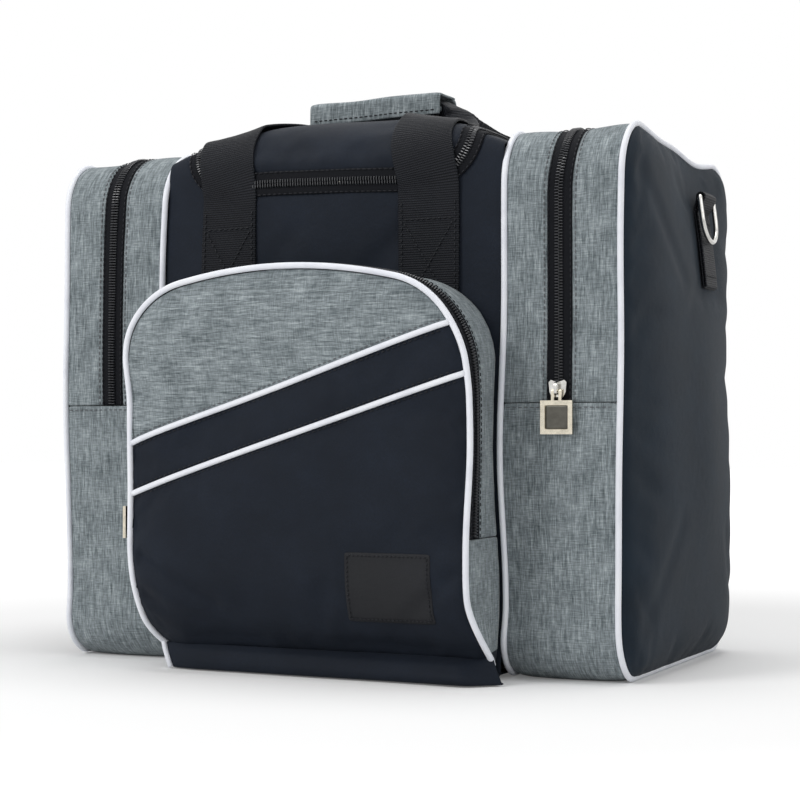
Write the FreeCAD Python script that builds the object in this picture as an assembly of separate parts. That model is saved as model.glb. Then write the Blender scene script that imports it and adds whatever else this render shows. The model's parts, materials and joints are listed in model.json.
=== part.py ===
import FreeCAD, Part
import math
import os

from FreeCAD import Vector

# Bowling ball tote: a ball compartment between two zipped shoe pockets, with a zipped pocket on its front.
# Millimetres. X is across the bag, with +X the wearer's right-hand pocket as seen from the front, -Y is the
# front and +Z is up. The origin is on the floor, under the middle of the ball compartment.

# ---- driving dimensions -------------------------------------------------------------------------------------
BAG_DEPTH = 240.0        # front to back, without the front pocket
POCKET_HEIGHT = 356.0    # side pockets
CROWN_HEIGHT = 377.0     # top of the lid
CENTRE_WIDTH = 252.0     # ball compartment, between the inner piping
POCKET_WIDTH = 80.0      # side pocket gusset, piping to piping
PANEL_BULGE = 18.0       # how far a full side panel stands out

WALL = 4.0               # foam-backed walls of the ball compartment
CLOTH = 3.0              # padded cloth of the pockets
PIPING = 4.0             # piping cord, across
PIPING_PROUD = 1.5       # how far the piping stands out of the cloth
SEAM_GAP = 0.4           # between cloth that moves apart

TAPE_WIDTH = 17.0        # visible zip tape, both halves
TAPE_PROUD = 0.6         # tape and its coil above the cloth
TAPE_THICK = 2.6
ZIP_SLIT = 0.8           # between the two halves

WEBBING = 42.0           # handle webbing, across
WEBBING_THICK = 2.0
HANDLE_HALF_SPAN = 73.5  # handle legs, from the middle of the bag

# ---- derived sizes ------------------------------------------------------------------------------------------
HALF_DEPTH = BAG_DEPTH / 2
HALF_CENTRE = CENTRE_WIDTH / 2
OUTER_X = HALF_CENTRE + POCKET_WIDTH             # outer piping, middle
ZIP_X = HALF_CENTRE + POCKET_WIDTH / 2           # side pocket zip, middle
GUSSET_IN = HALF_CENTRE + PIPING / 2             # edges of the side gusset cloth
GUSSET_OUT = OUTER_X - PIPING / 2
PANEL_X = OUTER_X + PIPING / 2                   # edge of the side panel's outer face
POCKET_TOP_RADIUS = 36.0
POCKET_FOOT_RADIUS = 32.0
POCKET_SEAM_Z = POCKET_HEIGHT / 2                # cross seam where the side zips end

MAIN_HALF_DEPTH = HALF_DEPTH - 2.0
MAIN_HALF_WIDTH = HALF_CENTRE - PIPING           # the partitions lie outside this
ARCH_RISE = 30.0
SHOULDER_HEIGHT = CROWN_HEIGHT - ARCH_RISE       # top of the ball compartment beside the pockets
ARCH_RADIUS = (HALF_CENTRE ** 2 + ARCH_RISE ** 2) / (2 * ARCH_RISE)
ROOF_SLOPE = math.radians(10.0)
CROWN_RADIUS = 480.0
MAIN_CORNER_RADIUS = 32.0
MAIN_FOOT_RADIUS = 8.0

LID_ZIP_X = 102.0        # lid zip, middle, at the sides
LID_ZIP_Z = 331.0        # lid zip, middle, across the front
LID_ZIP_RADIUS = 24.0    # lid zip, at its two front corners
LID_HINGE_Y = 82.0       # back edge of the lid
LID_ZIP_END_Y = 106.0    # the zip runs on past the lid
STRIP_HALF_LENGTH = 79.0  # the two strips beside the lid

FRONT_HALF_WIDTH = 122.0  # front pocket
FRONT_TOP = 268.0
FRONT_FOOT = 5.0
FRONT_SLOPE = math.radians(20.0)   # its top is a low arch
FRONT_CROWN_RADIUS = 220.0
FRONT_SHOULDER_RADIUS = 70.0
FRONT_FOOT_RADIUS = 24.0
FRONT_REACH = 53.0       # how far the pocket stands out of the ball compartment
FRONT_FOLD_Z = 92.0      # where its zip ends and its panel folds forward
FRONT_Y = -(MAIN_HALF_DEPTH + FRONT_REACH)
FRONT_KNEE_Z = 34.0      # below this the pocket's face runs back to the foot seam
FRONT_KNEE_RADIUS = 70.0
FRONT_FOOT_REACH = 6.0   # the foot seam, in front of the ball compartment

BIG = 1000.0             # larger than the bag, for cutting tools


# ---- outlines and basic solids ------------------------------------------------------------------------------
def yz(y, z):
    return Vector(0, y, z)


def xz(x, z):
    return Vector(x, 0, z)


def xy(x, y):
    return Vector(x, y, 0)


def rounded_face(corners, plane):
    """Face inside a polygon of (u, v, corner radius); the plane function maps u and v to space."""
    points = [(Vector(u, v, 0), r) for u, v, r in corners]
    ends = []
    for i, (corner, radius) in enumerate(points):
        to_last = (points[i - 1][0] - corner).normalize()
        to_next = (points[(i + 1) % len(points)][0] - corner).normalize()
        if radius <= 0:
            ends.append((corner, corner, corner))
            continue
        half_angle = to_last.getAngle(to_next) / 2
        reach = radius / math.tan(half_angle)
        middle = (to_last + to_next).normalize()
        top = corner + middle * (radius / math.sin(half_angle) - radius)
        ends.append((corner + to_last * reach, top, corner + to_next * reach))
    edges = []
    for i, (start, top, end) in enumerate(ends):
        before = ends[i - 1][2]
        if (start - before).Length > 1e-6:
            edges.append(Part.makeLine(plane(before.x, before.y), plane(start.x, start.y)))
        if (end - start).Length > 1e-6:
            arc = Part.Arc(plane(start.x, start.y), plane(top.x, top.y), plane(end.x, end.y))
            edges.append(arc.toShape())
    return Part.Face(Part.Wire(edges))


def along_x(face, x0, x1):
    face = face.translated(Vector(x0, 0, 0))
    return face.extrude(Vector(x1 - x0, 0, 0))


def along_y(face, y0, y1):
    face = face.translated(Vector(0, y0, 0))
    return face.extrude(Vector(0, y1 - y0, 0))


def along_z(face, z0, z1):
    face = face.translated(Vector(0, 0, z0))
    return face.extrude(Vector(0, 0, z1 - z0))


def block(x0, x1, y0, y1, z0, z1):
    return Part.makeBox(x1 - x0, y1 - y0, z1 - z0, Vector(x0, y0, z0))


def rounded_block(x0, x1, y0, y1, z0, z1, radius):
    corners = [(x0, y0, radius), (x1, y0, radius), (x1, y1, radius), (x0, y1, radius)]
    return along_z(rounded_face(corners, xy), z0, z1)


def above(z):
    return block(-BIG, BIG, -BIG, BIG, z, BIG)


def below(z):
    return block(-BIG, BIG, -BIG, BIG, -BIG, z)


def in_front_of(y):
    return block(-BIG, BIG, -BIG, y, -BIG, BIG)


def behind(y):
    return block(-BIG, BIG, y, BIG, -BIG, BIG)


# ---- side pockets, drawn on the right and turned half round for the left -------------------------------------
def pocket_profile(inset):
    half = HALF_DEPTH - inset
    top, foot = POCKET_TOP_RADIUS - inset, POCKET_FOOT_RADIUS - inset
    return rounded_face([(-half, inset, foot), (half, inset, foot),
                         (half, POCKET_HEIGHT - inset, top), (-half, POCKET_HEIGHT - inset, top)], yz)


def pocket_band(x0, x1, outer, inner):
    """Closed band round the pocket between two insets; a negative inset stands out of the cloth."""
    band = along_x(pocket_profile(outer), x0, x1).cut(along_x(pocket_profile(inner), x0 - 1, x1 + 1))
    return band.common(above(0))


def arch_of_height(half_chord, bulge, middle, edge, plane_point):
    """Face between the line at depth 0 and an arc that stands edge + bulge out at the middle."""
    start = plane_point(middle - half_chord, edge)
    end = plane_point(middle + half_chord, edge)
    arc = Part.Arc(start, plane_point(middle, edge + bulge), end).toShape()
    back_start, back_end = plane_point(middle - half_chord, -BIG), plane_point(middle + half_chord, -BIG)
    return Part.Face(Part.Wire([arc, Part.makeLine(end, back_end), Part.makeLine(back_end, back_start),
                                Part.makeLine(back_start, start)]))


def side_pillow(shift):
    """Everything inside a full side panel's outer face, moved inwards by shift."""
    edge = PANEL_X - shift
    plan = along_z(arch_of_height(HALF_DEPTH, PANEL_BULGE, 0, edge, lambda y, x: xy(x, y)),
                   -1, POCKET_HEIGHT + 1)
    side = along_y(arch_of_height(POCKET_HEIGHT / 2, PANEL_BULGE, POCKET_HEIGHT / 2, edge,
                                  lambda z, x: xz(x, z)), -HALF_DEPTH - 1, HALF_DEPTH + 1)
    return plan.common(side)


def side_panel():
    outline = along_x(pocket_profile(PIPING - PIPING_PROUD), GUSSET_OUT + 1, BIG)
    return side_pillow(0).cut(side_pillow(CLOTH)).common(outline)


def zip_halves(band, x):
    """Zip halves each side of the slit at x, from a function that makes bands."""
    half, slit = TAPE_WIDTH / 2, ZIP_SLIT / 2
    spans = [(x - half, x - slit), (x + slit, x + half)]
    return [band(start, end, -TAPE_PROUD, TAPE_THICK - TAPE_PROUD) for start, end in spans]


def side_pocket_pieces():
    upper, lower = above(POCKET_SEAM_Z + SEAM_GAP / 2), below(POCKET_SEAM_Z - SEAM_GAP / 2)
    ring_in, ring_out = -PIPING_PROUD, PIPING - PIPING_PROUD
    inner_tape, outer_tape = zip_halves(pocket_band, ZIP_X)
    outer_piping = pocket_band(GUSSET_OUT, PANEL_X, ring_in, ring_out)
    panel = side_panel()
    half_tape = TAPE_WIDTH / 2
    return {
        "pocket_partition": along_x(pocket_profile(0), MAIN_HALF_WIDTH, HALF_CENTRE - PIPING / 2),
        "inner_piping": pocket_band(HALF_CENTRE - PIPING / 2, GUSSET_IN, ring_in, ring_out),
        "pocket_lower_gusset": pocket_band(GUSSET_IN, GUSSET_OUT, 0, CLOTH).common(lower),
        "pocket_inner_gusset": pocket_band(GUSSET_IN, ZIP_X - half_tape, 0, CLOTH).common(upper),
        "pocket_outer_gusset": pocket_band(ZIP_X + half_tape, GUSSET_OUT, 0, CLOTH).common(upper),
        "pocket_inner_zip_tape": inner_tape.common(upper),
        "pocket_outer_zip_tape": outer_tape.common(upper),
        "outer_piping_lower": outer_piping.common(lower),
        "outer_piping_upper": outer_piping.common(upper),
        "side_panel_lower": panel.common(lower),
        "side_panel_upper": panel.common(upper),
    }


# ---- strap ring and its webbing tab, high on each side panel ---------------------------------------------------
RING_INSIDE = 30.0       # inner width, across the webbing
RING_WIRE = 3.4
RING_DROP = 31.0         # bar to the middle of the bow's wire
RING_BAR_Z = 322.0
RING_Y = 30.0            # behind the middle of the right panel
TAB_LENGTH = 68.0
TAB_THICK = 3.2          # two layers of webbing
TAB_LAYER = 1.6
TAB_WIDTH = RING_INSIDE - 1.0
RING_CLEARANCE = 0.35    # wire to webbing
TAB_GAP = 0.6            # ring to the layers under it
BOW_FACETS = 14


def panel_face_at(z):
    """Outer face of the right side panel away from its edges: its x, and its lean in degrees."""
    half = POCKET_HEIGHT / 2
    radius = (half ** 2 + PANEL_BULGE ** 2) / (2 * PANEL_BULGE)
    lean = math.asin((z - half) / radius)
    return PANEL_X + PANEL_BULGE - radius * (1 - math.cos(lean)), math.degrees(lean)


def ring_frame():
    """Where the ring's bar lies, as x and z, and the lean of the panel under the ring."""
    face_x, lean = panel_face_at(RING_BAR_Z - RING_DROP)
    tilt = math.radians(lean)
    stand_off = TAB_THICK + RING_WIRE / 2 + RING_CLEARANCE + TAB_GAP
    bar_x = face_x + stand_off * math.cos(tilt) - RING_DROP * math.sin(tilt)
    return bar_x, RING_BAR_Z, lean


def leaned(shape, bar_x, bar_z, lean):
    """Turns a shape that was drawn upright about the ring's bar so that it follows the panel."""
    shape = shape.translated(Vector(bar_x, RING_Y, bar_z))
    return shape.rotate(Vector(bar_x, 0, bar_z), Vector(0, -1, 0), lean)


def wire_section(wire, plane):
    """Six-sided section of bent wire."""
    angles = [math.radians(60 * k) for k in range(6)]
    return rounded_face([(wire / 2 * math.cos(a), wire / 2 * math.sin(a), 0) for a in angles], plane)


def strap_ring(half_width, straight, wire):
    """D-shaped ring of bent wire, bar along Y at the origin, bow hanging down."""
    reach = half_width + wire * 0.35
    pieces = [along_y(wire_section(wire, xz), -reach, reach)]
    for side in (-1, 1):
        leg = along_z(wire_section(wire, xy), -straight, 0)
        pieces.append(leg.translated(Vector(0, side * half_width, 0)))
    sections = []
    for k in range(BOW_FACETS + 1):
        section = wire_section(wire, xy).OuterWire.translated(Vector(0, half_width, -straight))
        sections.append(section.rotate(Vector(0, 0, -straight), Vector(-1, 0, 0), 180 * k / BOW_FACETS))
    pieces.append(Part.makeLoft(sections, True, True))
    return pieces[0].fuse(pieces[1:]).removeSplitter()


def ring_and_tab():
    bar_x, bar_z, lean = ring_frame()
    half = (RING_INSIDE + RING_WIRE) / 2
    ring = strap_ring(half, RING_DROP - half, RING_WIRE)
    eye = RING_WIRE / 2 + RING_CLEARANCE
    outer = eye + TAB_LAYER
    stand_off = TAB_THICK + RING_WIRE / 2 + RING_CLEARANCE + TAB_GAP
    roll = Part.makeCylinder(outer, TAB_WIDTH, Vector(0, -TAB_WIDTH / 2, 0), Vector(0, 1, 0))
    hole = Part.makeCylinder(eye, TAB_WIDTH + 2, Vector(0, -TAB_WIDTH / 2 - 1, 0), Vector(0, 1, 0))
    front = TAB_THICK - stand_off
    patch = block(-stand_off - 3, front, -TAB_WIDTH / 2, TAB_WIDTH / 2, outer - TAB_LENGTH, -outer - 2)
    neck_face = rounded_face([(-stand_off - 3, -outer - 2, 0), (front, -outer - 2, 0),
                              (outer * 0.6, -outer * 0.8, 0), (-outer, 0, 0), (-stand_off - 3, -1, 0)], xz)
    neck = along_y(neck_face, -TAB_WIDTH / 2, TAB_WIDTH / 2)
    tab = roll.fuse([neck, patch]).cut(hole).removeSplitter()
    tab = leaned(tab, bar_x, bar_z, lean).cut(side_pillow(0))
    return leaned(ring, bar_x, bar_z, lean), tab


# ---- ball compartment ----------------------------------------------------------------------------------------
def compartment_outer(inset):
    """Solid inside the ball compartment's wall at an inset from its outer face."""
    apex = CROWN_HEIGHT + CROWN_RADIUS * (1 / math.cos(ROOF_SLOPE) - 1) - inset / math.cos(ROOF_SLOPE)
    half = MAIN_HALF_DEPTH - inset
    eaves = apex - half * math.tan(ROOF_SLOPE)
    side = rounded_face([(-half, 0, MAIN_FOOT_RADIUS), (half, 0, MAIN_FOOT_RADIUS),
                         (half, eaves, MAIN_CORNER_RADIUS - inset), (0, apex, CROWN_RADIUS - inset),
                         (-half, eaves, MAIN_CORNER_RADIUS - inset)], yz)
    front = arch_of_height(HALF_CENTRE, ARCH_RISE, 0, SHOULDER_HEIGHT - inset, xz)
    return along_x(side, -MAIN_HALF_WIDTH, MAIN_HALF_WIDTH).common(along_y(front, -BIG, BIG))


def arch_height(x):
    """Height of the roof towards its sides, where it follows the arch."""
    return CROWN_HEIGHT - ARCH_RADIUS + math.sqrt(ARCH_RADIUS ** 2 - x ** 2)


def compartment_skin(outer, inner):
    return compartment_outer(outer).cut(compartment_outer(inner)).common(above(WALL))


def lid_window(offset, back):
    """Everything inside the lid zip's line moved outwards by offset, from the front to y = back."""
    half, foot, radius = LID_ZIP_X + offset, LID_ZIP_Z - offset, LID_ZIP_RADIUS + offset
    face = rounded_face([(-half, foot, radius), (half, foot, radius), (half, BIG, 0), (-half, BIG, 0)], xz)
    return along_y(face, -BIG, back)


def lid_zip_half(side):
    """One half of the lid's zip: side is 1 for the half on the body, -1 for the lid's."""
    inner, outer = sorted((side * ZIP_SLIT / 2, side * TAPE_WIDTH / 2))
    strip = lid_window(outer, LID_ZIP_END_Y).cut(lid_window(inner, LID_ZIP_END_Y + 1))
    return compartment_skin(-TAPE_PROUD, TAPE_THICK - TAPE_PROUD).common(strip)


def ball_compartment_pieces():
    half_tape = TAPE_WIDTH / 2
    skin = compartment_skin(0, WALL)
    lid = skin.common(lid_window(-half_tape, LID_HINGE_Y - SEAM_GAP))
    zip_opening = lid_window(half_tape, LID_ZIP_END_Y).cut(lid_window(-half_tape, LID_ZIP_END_Y + 1))
    fixed = skin.cut(lid_window(-half_tape, LID_HINGE_Y)).cut(zip_opening)
    body_half, lid_half = lid_zip_half(1), lid_zip_half(-1)
    zip_end = lid_half.common(behind(LID_HINGE_Y))
    middle = fixed.common(behind(-STRIP_HALF_LENGTH)).common(in_front_of(STRIP_HALF_LENGTH))
    return {
        "main_front_panel": fixed.common(in_front_of(-STRIP_HALF_LENGTH)),
        "main_rear_panel": fixed.common(behind(STRIP_HALF_LENGTH)),
        "top_side_strips": Part.makeCompound([s for s in middle.Solids if s.Volume > 100]),
        "lid_panel": lid,
        "main_zip_body_tape": Part.makeCompound(body_half.Solids + zip_end.Solids),
        "main_zip_lid_tape": lid_half.common(in_front_of(LID_HINGE_Y - SEAM_GAP)),
        "base_panel": rounded_block(-MAIN_HALF_WIDTH, MAIN_HALF_WIDTH, -MAIN_HALF_DEPTH, MAIN_HALF_DEPTH,
                                    0, WALL, MAIN_FOOT_RADIUS),
    }


BOARD_THICK = 3.0
RING_HEIGHT = 36.0       # foam ring that the ball sits in
SEAT_RADIUS = 75.0
FOAM_MARGIN = 6.0        # foam to the compartment's walls


def base_board():
    x, y = MAIN_HALF_WIDTH - 3, MAIN_HALF_DEPTH - WALL - 3
    return rounded_block(-x, x, -y, y, WALL, WALL + BOARD_THICK, 12)


def ball_ring():
    """Foam block with a round seat for the ball."""
    x, y = MAIN_HALF_WIDTH - FOAM_MARGIN, MAIN_HALF_DEPTH - WALL - FOAM_MARGIN
    floor = WALL + BOARD_THICK
    seat = Part.makeCylinder(SEAT_RADIUS, RING_HEIGHT, Vector(0, 0, floor))
    return block(-x, x, -y, y, floor, floor + RING_HEIGHT).cut(seat)


# ---- front pocket --------------------------------------------------------------------------------------------
def front_outline(inset):
    half = FRONT_HALF_WIDTH - inset
    apex = FRONT_TOP + FRONT_CROWN_RADIUS * (1 / math.cos(FRONT_SLOPE) - 1) - inset / math.cos(FRONT_SLOPE)
    shoulder = apex - half * math.tan(FRONT_SLOPE)
    return rounded_face([(-half, FRONT_FOOT + inset, FRONT_FOOT_RADIUS - inset),
                         (half, FRONT_FOOT + inset, FRONT_FOOT_RADIUS - inset),
                         (half, shoulder, FRONT_SHOULDER_RADIUS - inset),
                         (0, apex, FRONT_CROWN_RADIUS - inset),
                         (-half, shoulder, FRONT_SHOULDER_RADIUS - inset)], xz)


def front_ring(outer, inner):
    """Band that follows the pocket's outline between two insets, straight back to the compartment."""
    return along_y(front_outline(outer), -BIG, 0).cut(along_y(front_outline(inner), -BIG, 1))


def front_depth(shift):
    """Everything behind the pocket's front face moved back by shift; the face runs in to the foot seam."""
    y = FRONT_Y + shift
    top, foot = FRONT_TOP + 9, -3
    face = rounded_face([(y, top, 0), (y, FRONT_KNEE_Z, FRONT_KNEE_RADIUS),
                         (-MAIN_HALF_DEPTH - FRONT_FOOT_REACH + shift, foot, 0), (BIG, foot, 0),
                         (BIG, top, 0)], yz)
    return along_x(face, -BIG, BIG)


def front_layer(front, back):
    """Layer of the pocket between two distances behind its front face, outside the compartment."""
    return front_depth(front).cut(front_depth(back)).common(in_front_of(-MAIN_HALF_DEPTH))


STRIPE_RISE = 86.0       # the two piped seams rise this far across the panel
STRIPE_LOW_Z = 150.0     # upper seam, at the pocket's left edge
STRIPE_SPACING = 34.0
STRIPE_PIPING = 4.0


def stripe_band(z_low, z_high):
    """Slanting band across the pocket, given by its two edges' heights at the left edge."""
    left, right = -FRONT_HALF_WIDTH - 10, FRONT_HALF_WIDTH + 10
    face = rounded_face([(left, z_low, 0), (right, z_low + STRIPE_RISE, 0),
                         (right, z_high + STRIPE_RISE, 0), (left, z_high, 0)], xz)
    return along_y(face, -BIG, 0)


def front_pocket_pieces():
    ring_out, half = PIPING - PIPING_PROUD, TAPE_WIDTH / 2
    upper, lower = above(FRONT_FOLD_Z + SEAM_GAP / 2), below(FRONT_FOLD_Z - SEAM_GAP / 2)
    zip_back = ring_out + TAPE_WIDTH                     # where the cloth behind the zip starts
    panel = front_layer(0, CLOTH).common(along_y(front_outline(ring_out), -BIG, 0))
    edge = front_ring(-PIPING_PROUD, ring_out).common(above(0.5))
    piping = front_layer(-PIPING_PROUD, ring_out).common(edge)

    def band(y0, y1, outer, inner):
        return front_layer(y0, y1).common(front_ring(outer, inner))

    front_tape, back_tape = zip_halves(band, ring_out + half)
    gusset = band(zip_back, BIG, 0, CLOTH).common(upper)
    foot = band(ring_out, BIG, 0, CLOTH).common(lower)
    seams = [(STRIPE_LOW_Z - k * STRIPE_SPACING - STRIPE_PIPING, STRIPE_LOW_Z - k * STRIPE_SPACING)
             for k in (0, 1)]
    cords = [stripe_band(low, high) for low, high in seams]
    upper_panel = panel.common(upper)
    grey = upper_panel.common(stripe_band(seams[0][1], BIG))
    black = upper_panel.cut(stripe_band(seams[0][0], BIG)).cut(cords[1])
    cord_layer = front_layer(-PIPING_PROUD / 2, CLOTH).common(along_y(front_outline(ring_out), -BIG, 0))
    return {
        "front_pocket_gusset": gusset,
        "front_pocket_foot_gusset": foot,
        "front_pocket_lower_panel": panel.common(lower).cut(foot),
        "front_pocket_lower_piping": piping.common(lower),
        "front_pocket_upper_piping": piping.common(upper),
        "front_pocket_grey_panel": grey,
        "front_pocket_black_panel": Part.makeCompound(black.Solids),
        "front_pocket_seam_piping": Part.makeCompound(
            [s for c in cords for s in cord_layer.common(upper).common(c).Solids]),
        "front_pocket_zip_front_tape": front_tape.common(upper),
        "front_pocket_zip_back_tape": back_tape.common(upper),
    }


LABEL_X, LABEL_Z = (38.0, 98.0), (38.0, 83.0)


def label_patch():
    """Plain woven patch sewn low on the front pocket."""
    return front_layer(-0.8, 0).common(block(*LABEL_X, -BIG, 0, *LABEL_Z))


# ---- zip sliders and pulls -------------------------------------------------------------------------------------
# Drawn with travel along Z, the tape's width along X and its outward side along -Y, the cloth's face at y = 0.
SLIDER_WIDTH = 12.0
SLIDER_LENGTH = 11.0
SLIDER_TOP = 1.2         # underside of the top plate above the cloth
SLIDER_PLATE = 1.6
SLIDER_BACK = 2.4        # face of the back plate below the cloth
NECK_THICK = 0.4
BRIDGE_RISE = 4.6
BRIDGE_WIDTH = 2.0
BRIDGE_THICK = 1.4
PULL_PIN = 0.9           # radius of the pull's crossbar
PULL_PIN_RISE = 1.7      # above the top plate
PULL_PIN_Z = -1.4
PULL_SIDE = 21.5
PULL_THICK = 2.2
PULL_BORDER = 3.0
PULL_RECESS = 0.9
PULL_ARM = 2.0
PULL_NECK = 7.0          # crossbar to the square


def slider_plate(thick):
    """Heart-like slider plate, wide at the top, with flanges drawn in at its foot."""
    half, length = SLIDER_WIDTH / 2, SLIDER_LENGTH / 2
    face = rounded_face([(-half, length - 1.5, 0), (-half + 1.5, length, 0), (0, length - 1.6, 0),
                         (half - 1.5, length, 0), (half, length - 1.5, 0), (half - 0.6, -length * 0.4, 0),
                         (half - 2.2, -length, 0), (-half + 2.2, -length, 0),
                         (-half + 0.6, -length * 0.4, 0)], xz)
    return along_y(face, -thick, 0)


def slider_bridge():
    """Bail over the top plate that the pull's crossbar turns under."""
    half = SLIDER_LENGTH / 2 - 1.2
    outer = rounded_face([(0, -half, 0), (-BRIDGE_RISE, -half + 0.6, 2.2),
                          (-BRIDGE_RISE, half - 0.6, 2.2), (0, half, 0)], yz)
    inner_top = BRIDGE_RISE - BRIDGE_THICK
    inner = rounded_face([(1, -half + BRIDGE_THICK, 0), (-inner_top, -half + BRIDGE_THICK + 0.3, 0),
                          (-inner_top, half - BRIDGE_THICK - 0.3, 0), (1, half - BRIDGE_THICK, 0)], yz)
    bridge = along_x(outer, -BRIDGE_WIDTH / 2, BRIDGE_WIDTH / 2)
    return bridge.cut(along_x(inner, -BRIDGE_WIDTH, BRIDGE_WIDTH))


def zip_slider(neck_lean=0.0):
    """Slider of two plates held by a thin neck that runs in the zip's slit."""
    top = slider_plate(SLIDER_PLATE).translated(Vector(0, -SLIDER_TOP, 0))
    back = slider_plate(SLIDER_PLATE * 0.75).translated(Vector(0, SLIDER_BACK + SLIDER_PLATE * 0.75, 0))
    bridge = slider_bridge().translated(Vector(0, -SLIDER_TOP - SLIDER_PLATE, 0))
    neck = block(-NECK_THICK / 2, NECK_THICK / 2, -SLIDER_TOP - 0.2, SLIDER_BACK + 0.2, -2.4, 2.4)
    neck.rotate(Vector(0, 0, 0), Vector(0, 0, 1), neck_lean)
    return top.fuse([back, bridge, neck]).removeSplitter()


def pull_pin():
    """The crossbar's place in the slider's own frame."""
    return Vector(0, -(SLIDER_TOP + SLIDER_PLATE + PULL_PIN_RISE), PULL_PIN_Z)


def zip_pull():
    """Square framed pull on a forked neck; its crossbar passes under the slider's bridge."""
    pin = pull_pin()
    arm_in = BRIDGE_WIDTH / 2 + 0.5
    arm_out = arm_in + PULL_ARM
    bar = Part.makeCylinder(PULL_PIN, 2 * arm_out, Vector(-arm_out, 0, 0), Vector(1, 0, 0))
    arm_face = rounded_face([(-PULL_PIN, 0, 0), (PULL_PIN, 0, 0), (PULL_PIN, -PULL_NECK, 0),
                             (-PULL_PIN, -PULL_NECK, 0)], yz)
    arms = [along_x(arm_face, *span) for span in ((-arm_out, -arm_in), (arm_in, arm_out))]
    half, top = PULL_SIDE / 2, -PULL_NECK + 0.8
    square = [(-half, top, 0), (half, top, 0), (half, top - PULL_SIDE, 0), (-half, top - PULL_SIDE, 0)]
    inside = half - PULL_BORDER
    centre = top - half
    floor = [(-inside, centre + inside, 0), (inside, centre + inside, 0),
             (inside, centre - inside, 0), (-inside, centre - inside, 0)]
    plate = along_y(rounded_face(square, xz), -PULL_THICK / 2, PULL_THICK / 2)
    recess = along_y(rounded_face(floor, xz), -PULL_THICK / 2 - 1, -PULL_THICK / 2 + PULL_RECESS)
    return bar.fuse(arms + [plate.cut(recess)]).removeSplitter().translated(pin)


def placed(shape, position, turn_z=0.0, lay_back=0.0, lean_y=0.0):
    """Puts a slider or pull on its zip: laid back about X, leaned about Y, then turned about Z."""
    shape = shape.copy()
    origin = Vector(0, 0, 0)
    shape.rotate(origin, Vector(1, 0, 0), lay_back)
    shape.rotate(origin, Vector(0, 1, 0), lean_y)
    shape.rotate(origin, Vector(0, 0, 1), turn_z)
    return shape.translated(position)


SIDE_SLIDER_Z = POCKET_SEAM_Z + 9.0
FRONT_SLIDER_Z = FRONT_FOLD_Z + 25.0
MAIN_SLIDER_Y = 89.0


def lid_zip_height():
    """Height of the cloth, and its slope in degrees, along the lid zip's straight sides."""
    return arch_height(LID_ZIP_X), math.degrees(math.asin(LID_ZIP_X / ARCH_RADIUS))


def slider_places():
    """Each zip's slider: position, then turn about Z, lay back about X and lean about Y, in degrees."""
    zip_z, slope = lid_zip_height()
    zip_y = FRONT_Y + PIPING - PIPING_PROUD + TAPE_WIDTH / 2
    return {
        "right_pocket": (Vector(ZIP_X, -HALF_DEPTH, SIDE_SLIDER_Z), 0.0, 0.0, 0.0),
        "left_pocket": (Vector(-ZIP_X, HALF_DEPTH, SIDE_SLIDER_Z), 180.0, 0.0, 0.0),
        "front_pocket": (Vector(-FRONT_HALF_WIDTH, zip_y, FRONT_SLIDER_Z), -90.0, 0.0, 0.0),
        "main": (Vector(-LID_ZIP_X, MAIN_SLIDER_Y, zip_z), 0.0, -90.0, -slope),
    }


# ---- handles ---------------------------------------------------------------------------------------------------
HANDLE_FOLD_Z = 321.0    # where the free webbing leaves its sewn run
HANDLE_OFFSET = 1.2      # free webbing above the cloth, clear of the lid zip's coil
SEWN_FOOT_Z = 233.0
LEG_TURN_Y = 90.0        # here the legs turn inwards
LEG_DRIFT = 12.0         # and have come this far inwards
RAMP_Y = 46.0            # where they leave the roof and rise to the grip
GRIP_HALF_LENGTH = 68.0
GRIP_NECK = 14.0         # width of the folded webbing where it meets the grip
GRIP_Z = CROWN_HEIGHT + 16.0
GRIP_DEPTH = 13.0
GRIP_HEIGHT = 10.0
GRIP_GAP = 1.0
WRAP_LENGTH = 104.0
WRAP_THICK = 2.4
WRAP_ROOM = 0.8


def sewn_webbing():
    """Both sewn runs of the front handle."""
    near, far = leg_edges(0)
    return [block(x0, x1, -MAIN_HALF_DEPTH - WEBBING_THICK, -MAIN_HALF_DEPTH, SEWN_FOOT_Z, HANDLE_FOLD_Z)
            for x0, x1 in ((-far, -near), (near, far))]


def section_at(y, corners):
    """Closed section across the webbing's run at y."""
    return Part.makePolygon([Vector(x, y, z) for x, z in corners + corners[:1]])


def leg_edges(drift):
    """Inner and outer edge of the right leg where it has come inwards by drift."""
    return HANDLE_HALF_SPAN - WEBBING / 2 - drift, HANDLE_HALF_SPAN + WEBBING / 2 - drift


def leg_plan(side):
    """Everything above and below one leg between the front and the ramp."""
    (near, far), (near_in, far_in) = leg_edges(0), leg_edges(LEG_DRIFT)
    plan = [(near, -BIG), (far, -BIG), (far, -LEG_TURN_Y), (far_in, -RAMP_Y), (near_in, -RAMP_Y),
            (near, -LEG_TURN_Y)]
    return along_z(rounded_face([(side * x, y, 0) for x, y in plan], xy), 0, BIG)


def leg_ramp(side):
    """One leg's rise from the roof to the grip, where the webbing is folded narrow."""
    low, high = HANDLE_OFFSET, HANDLE_OFFSET + WEBBING_THICK
    near, far = leg_edges(LEG_DRIFT)
    start = [(side * near, arch_height(near) + low), (side * far, arch_height(far) + low),
             (side * far, arch_height(far) + high), (side * near, arch_height(near) + high)]
    near, far = GRIP_HALF_LENGTH - GRIP_NECK, GRIP_HALF_LENGTH
    low, high = GRIP_Z - GRIP_HEIGHT / 2, GRIP_Z + GRIP_HEIGHT / 2
    end = [(side * near, low), (side * far, low), (side * far, high), (side * near, high)]
    sections = [section_at(-RAMP_Y, start), section_at(-GRIP_GAP / 2 - GRIP_DEPTH, end)]
    return Part.makeLoft(sections, True, True)


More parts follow.
